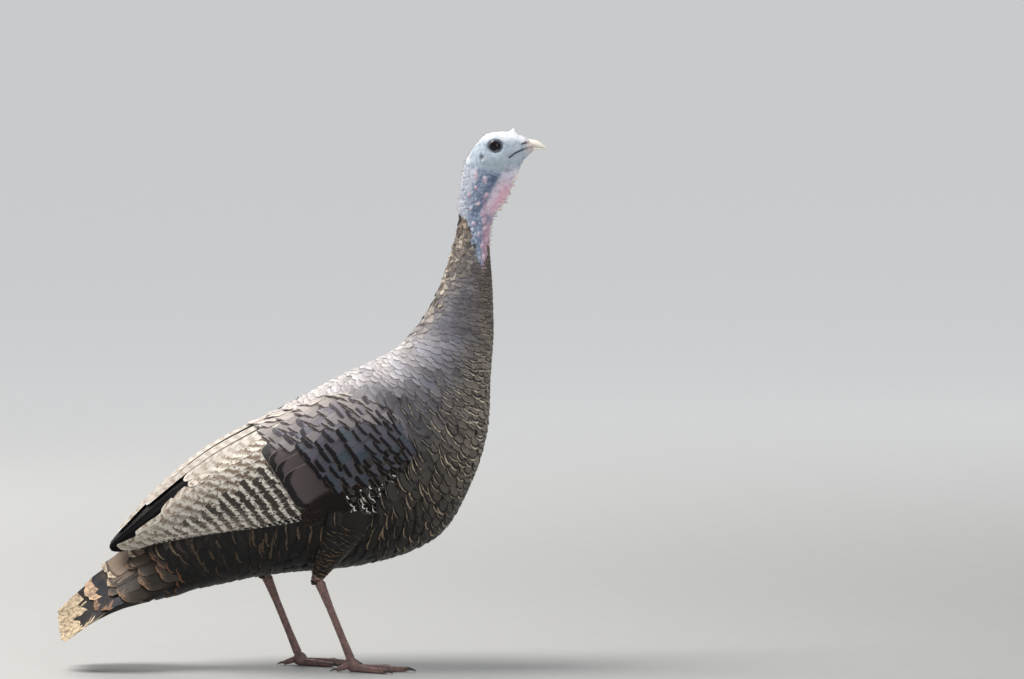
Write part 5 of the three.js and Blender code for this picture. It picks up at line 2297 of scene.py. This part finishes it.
@dataclass(frozen=True)
class Claws:
    """The four claws of each foot: curved, tapered horn."""
    finish: Material

    def build(self) -> None:
        """Makes every claw."""
        t = np.linspace(0, 1, 22)
        for (side_name, side), (name, toe) in product(SIDES.items(), TOES.items()):
            root, end = LegForm(side).toe_line(toe)
            path = end + unit((end - root) * [1, 1, 0]) * (toe.claw * t - 3.4)[:, None]
            path[:, 2] = toe.tip + 0.2 + np.sin(math.pi * t) - (toe.tip - 0.8) * t ** 1.5
            size = mix(toe.tip * 0.84, 0.5, t ** 0.9)
            size[-1] *= 0.5
            path[:, 2] = np.maximum(path[:, 2], size * 0.85 + 0.1)
            points, faces = tube(limb(path, size, 0.8, 18, UP))
            piece = mesh_piece(f"nail_{name}_{side_name}", points, faces, self.finish,
                               {"along": np.concatenate([np.repeat(t, 18), [0, 1]])})
            settle(piece, "claw", f"claw_{name}_{side_name}")


# ------------------------------------------------- what Geometry Nodes repeat

class Scatter(Web):
    """A Geometry Nodes tree that sets small shapes on points which carry their own turn and size."""

    def __init__(self, name: str, **sizes: float) -> None:
        """Starts the tree.

        Args:
            name: Its name.
            **sizes: Its named numbers, which self.numbers gives as wires.
        """
        super().__init__(bpy.data.node_groups.new(name, "GeometryNodeTree"))
        self.sizes = sizes
        [self.source] = self.given("Geometry", "Geometry")
        self.numbers = self.given("Float", *sizes)

    def named(self, name: str, kind: str = "FLOAT_VECTOR") -> Wire:
        """Reads one of the points' attributes."""
        return self.wire("GeometryNodeInputNamedAttribute", {"Name": name}, data_type=kind)

    def instance(self, points: Wire, shape: Wire, rotation: Wire, scale: Wire, material: Material) -> None:
        """Instances a shape, makes it real and closes the tree.

        Args:
            points: Where the copies stand.
            shape: What is copied.
            rotation, scale: How each is turned and sized.
            material: Their material.
        """
        made = self.wire("GeometryNodeInstanceOnPoints", {
            "Points": points, "Instance": shape, "Rotation": rotation, "Scale": scale})
        made = self.wire("GeometryNodeRealizeInstances", {0: made})
        made = self.wire("GeometryNodeSetShadeSmooth", {"Geometry": made})
        self.close(Geometry=self.wire("GeometryNodeSetMaterial", {"Geometry": made, "Material": material}))

    def run(self, base: Piece, name: str) -> Piece:
        """Runs the tree.

        Args:
            base: The object that holds the points. It is removed.
            name: The result's name.

        Returns:
            The result as a plain mesh object.
        """
        modifier = base.modifiers.new(name, "NODES")
        modifier.node_group = self.tree
        for item in self.tree.interface.items_tree:
            if item.in_out == "INPUT" and item.name in self.sizes:
                modifier[item.identifier] = self.sizes[item.name]
        return plain_copy(name, base)


@dataclass(frozen=True)
class Scutes:
    """The shields down the front of each shank and across the top of each toe."""
    finish: Material
    shank_step: float = 4.3
    toe_step: float = 2.7
    thickness: float = 0.55
    swell: float = 1.04

    def on_leg(self, leg: LegForm) -> Iterator[tuple[Array, Array, Array, Array]]:
        """Every shield of a leg.

        Args:
            leg: The leg.

        Returns:
            The place, the ways the length and the outside face, and the three sizes of one after another.
        """
        ball, hock, _ = leg.points
        run = unit(hock - ball)
        front = unit(np.array([1.0, 0, 0]) - run[0] * run)
        at, radius = np.array(leg.shank_stops).T
        length = float(np.linalg.norm(hock - ball))
        for row, turn in enumerate((-0.5, 0.5, 2.75, 3.5)):
            out = math.cos(turn) * front + math.sin(turn) * LEFT
            for k in range(int(length * 0.86 / self.shank_step)):
                t = 0.09 + (k + 0.5 * (row % 2)) * self.shank_step / length
                size = float(np.interp(t, at, radius))
                half = size * (0.56 if row < 2 else 0.46)
                yield (ball + t * (hock - ball) + out * size * 0.86, -run, out,
                       np.array((self.shank_step * 0.66, half, self.thickness + size * 0.12)))
        for toe in TOES.values():
            root, end = leg.toe_line(toe)
            ahead = unit(end - root)
            up = unit(UP - ahead[2] * ahead)
            reach = float(np.linalg.norm(end - root))
            for k in range(1, int(reach / self.toe_step) + 1):
                t = k * self.toe_step / reach
                size = mix(toe.root, toe.tip, t)
                yield (root + t * (end - root) + up * size * 0.66, ahead, up, np.array(
                    (self.toe_step * 0.68, size * 0.78, self.thickness + size * 0.2)))

    def build(self) -> None:
        """Sets the shields and makes them one piece."""
        points, ahead, out, sizes = (np.array(c) for c in zip(*(
            shield for side in SIDES.values() for shield in self.on_leg(LegForm(side)))))
        web = Scatter("scutes", Swell=self.swell)
        web.instance(
            web.wire("GeometryNodeMeshToPoints", {"Mesh": web.source, "Radius": 0.001}),
            web.wire("GeometryNodeMeshUVSphere", {"Segments": 10, "Rings": 6, "Radius": 1.0}),
            web.wire("FunctionNodeAxesToRotation", {
                "Primary Axis": web.named("out"), "Secondary Axis": web.named("ahead")},
                primary_axis="Z", secondary_axis="X"),
            web.wire("VectorMath", {0: web.named("size"), "Scale": web.numbers[0]}, operation="SCALE"),
            self.finish)
        mesh = bpy.data.meshes.new("scute_places")
        mesh.vertices.add(len(points))
        mesh.vertices.foreach_set("co", (points * METRE).ravel().astype(np.float32))
        paint(mesh, {"out": out, "ahead": ahead, "size": sizes * METRE})
        LOG.info("legs: %d scutes", len(points))
        settle(web.run(linked("scute_places", mesh), "leg_scutes"), "leg_scales")


@dataclass(frozen=True)
class Bristles:
    """The sparse, hair-like dark feathers of crown, nape and throat."""
    finish: Material
    length: float = 4.2
    thick: float = 0.13
    density: float = 42000.0
    head: Head = Head()

    def build(self, skin: Piece) -> None:
        """Grows them on the bare skin.

        Args:
            skin: The finished skin.
        """
        mesh, eye = skin.data.copy(), self.head.eye
        points = vertices_of(mesh)
        x, y, z = points.T
        nape = smooth(20, 4, x - np.interp(z, [520, 560, 600, 625, 640], [183, 186, 191, 206, 228]))
        crown = 0.35 * smooth(624, 632, z) * smooth(244, 236, x)
        away = np.hypot(x - self.head.ear[0], z - self.head.ear[1])
        ear = 0.8 * np.exp(-(away / 5) ** 2) * (np.abs(y) > 6)
        chin = 0.18 * smooth(250, 262, x) * smooth(612, 604, z) * smooth(590, 600, z)
        share = np.clip(nape + crown + ear + chin, 0, 1) * (1 - feather_line(points)) * smooth(500, 530, z)
        share[np.hypot(x - eye.x, z - eye.z) < 9] = 0
        paint(mesh, {"share": share, "back": np.tile((-0.75, 0, -0.65), (len(x), 1))})
        web = Scatter("bristles", Length=self.length * METRE, Thickness=self.thick * METRE,
                      Density=self.density)
        length, thickness, density = web.numbers
        spread = web.wires("GeometryNodeDistributePointsOnFaces", {
            "Mesh": web.source, "Density": density * web.named("share", "FLOAT"), "Seed": SEED},
            distribute_method="RANDOM")
        lean = web.wire("VectorMath", {0: spread["Normal"], 1: web.named("back")}, operation="ADD")
        luck = web.wire("FunctionNodeRandomValue", {2: 0.5, 3: 1.3, "Seed": SEED}, data_type="FLOAT")
        web.instance(
            spread["Points"],
            web.wires("GeometryNodeMeshCone", {
                "Vertices": 4, "Radius Top": 0.12, "Radius Bottom": 1.0, "Depth": 1.0})["Mesh"],
            web.wire("FunctionNodeAlignRotationToVector", {"Vector": lean}, axis="Z"),
            web.wire("CombineXYZ", {0: thickness, 1: thickness, 2: length * luck}), self.finish)
        settle(web.run(linked("bristle_bed", mesh), "bristles"), "bare_skin")


@dataclass(frozen=True)
class ThighCoat:
    """The short feathers of one thigh, down to the hock."""
    side: str
    rows: int = 17

    def build(self, finish: Material) -> None:
        """Lays the rows from the knee down.

        Args:
            finish: The feathers' material.
        """
        rings = Skin.thigh(LegForm(SIDES[self.side]), 0.2)[::-1]
        grid = np.concatenate([rings, rings[:, :1]], axis=1).transpose(1, 0, 2)
        sheet = Sheet(grid, (0, 1), (0, 1), -1, True)
        point, out, _, _ = sheet.read(np.array([0.1]), np.array([0.5]))
        if np.sum((point[0] - rings[13].mean(0)) * out[0]) < 0:
            sheet = Sheet(grid, (0, 1), (0, 1), 1, True)
        coat = Coat(SEED + 31)
        rng = coat.rng
        for row in range(self.rows):
            v = mix(0.12, 0.95, row / (self.rows - 1))
            size = mix(34, 11, smooth(0.2, 1.0, v))
            _, _, around, _ = sheet.read(np.array([0.0, 0.25, 0.5, 0.75]), np.full(4, v))
            count = max(9, round(float(np.linalg.norm(around, axis=-1).mean()) / (size * 0.42)))
            u = (np.arange(count) + 0.5 * (row % 2) + rng.uniform(-0.15, 0.15, count)) / count % 1
            coat.grow(sheet, Plumes(
                u, np.full(count, v), size * rng.uniform(0.9, 1.1, count), size * 0.62,
                TailRow.THIGH.value.marks(rng, count, 0.12), turn=rng.normal(0, 0.1, count),
                sink=mix(3.0, 1.2, v), proud=0.3, roll=rng.normal(0, 0.2, count)), SMALL_VANE)
        coat.write(f"coat_thigh_{self.side}", "body_feathers", finish)


# ---------------------------------------------------------------------- studio

@dataclass(frozen=True)
class Studio:
    """Floor, light and camera."""
    aim: tuple[float, float, float] = (0.2472, 0.0, 0.390)
    distance: float = 14.0
    elevation: float = 4.0
    field_width: float = 1.2083
    sensor: float = 36.0
    floor_reach: float = 40.0
    room: float = 0.42

    @staticmethod
    def hang(name: str, data: bpy.types.ID, place: tuple[float, ...], aim: tuple[float, ...]) -> Piece:
        """Places a camera or a lamp.

        Args:
            name: Its name.
            data: Its data.
            place: Where it hangs.
            aim: What it looks at.

        Returns:
            The object.
        """
        piece = linked(name, data)
        piece.location = place
        piece.rotation_euler = (Vector(aim) - piece.location).to_track_quat("-Z", "Y").to_euler()
        return piece

    def camera(self) -> None:
        """Sets the camera, level with the hen's body and square to her right side."""
        lens = bpy.data.cameras.new("camera")
        lens.sensor_width = self.sensor
        lens.lens = self.sensor * self.distance / self.field_width
        lens.clip_end = 200
        tilt = math.radians(self.elevation)
        place = Vector(self.aim) + self.distance * Vector((0, -math.cos(tilt), math.sin(tilt)))
        bpy.context.scene.camera = self.hang("camera", lens, place, self.aim)

    def floor(self) -> None:
        """Lays the pale floor."""
        r = self.floor_reach / METRE
        mesh_piece("floor", np.array([[-r, -r, 0], [r, -r, 0], [r, r, 0], [-r, r, 0]]),
                            [np.array([[0, 1, 2, 3]])], FloorFinish().make())

    def light(self) -> None:
        """Hangs a large soft key light, a fill and a rim light, in an even pale room."""
        world = bpy.data.worlds.new("room")
        world.use_nodes = True
        web = Web(world.node_tree)
        web.tree.nodes.clear()
        both = web.wire("MixShader", {0: web.wires("LightPath")["Is Camera Ray"],
                                      1: web.wire("Background", {0: (0.84, 0.88, 0.95), 1: self.room}),
                                      2: web.wire("Background", {0: (0.80, 0.80, 0.79), 1: 1.0})})
        web.node("OutputWorld", {0: both})
        bpy.context.scene.world = world
        bpy.context.scene.view_settings.view_transform = "Standard"
        for name, place, size, power, tone in (
                ("key", (-1.5, -0.2, 2.9), 1.9, 132, (1.0, 0.97, 0.93)),
                ("fill", (1.9, -3.0, 1.3), 2.4, 42, (0.95, 0.97, 1.0)),
                ("rim", (-1.0, 2.4, 2.0), 1.6, 40, (1.0, 0.97, 0.92))):
            lamp = bpy.data.lights.new(name, "AREA")
            lamp.size = size
            lamp.energy = power
            lamp.color = tone
            self.hang(name, lamp, place, (0, 0, 0.3))


def main() -> None:
    """Builds the hen from the skin outwards, then the studio round her."""
    logging.basicConfig(level=logging.INFO, format="%(name)s %(message)s")
    studio = Studio()
    studio.camera()
    body_feathers = PlumageFinish("body_plumage", 0.5, 0.3, 0.2, fade=7.0, rough=0.52).make()
    neck_feathers = PlumageFinish("neck_plumage", 0.5, 0.45, 0.1, fade=16.0, rough=0.52).make()
    wing_feathers = PlumageFinish("wing_plumage", 0.06, 0.22, 0.4, 0.25, fade=26.0, worn=0.8, rough=0.52,
                                  metal=0.04, specular=0.09, sheen=0.0).make()
    broad_feathers = PlumageFinish("broad_coverts", 0.6, 0.2, 0.1, 0.3, fade=40.0, rough=0.42,
                                   metal=0.12).make()
    tail_feathers = PlumageFinish("tail_plumage", 0.1, 0.4, 0.4, fade=30.0, rough=0.52).make()
    covered = SkinFinish("covered_skin", 500.0).make()
    skin = Skin().build(SkinFinish().make(), covered, ScaleFinish("leg_skin").make())
    Bristles(HornFinish("bristle", (40, 33, 30), (30, 25, 24), 0.5).make()).build(skin)
    eye_finish = EyeFinish().make()
    for side in SIDES:
        Eye(side).build(eye_finish)
    Bill().build(HornFinish("bill_horn", (244, 231, 219), (250, 246, 232)).make())
    Claws(HornFinish("claw_horn", (74, 60, 54), (40, 33, 31), 0.35).make()).build()
    Scutes(ScaleFinish("scute_horn", (158, 124, 116), (122, 98, 94), 260.0).make()).build()
    BodyCoat(BodyLine(), WingForm()).build(body_feathers, neck_feathers)
    for side in SIDES:
        ThighCoat(side).build(body_feathers)
        Wing(WingForm(), side).build(wing_feathers, broad_feathers)
    Tail(TailForm(), UndertailForm()).build(tail_feathers, body_feathers)
    studio.floor()
    studio.light()


if __name__ == "__main__":
    main()
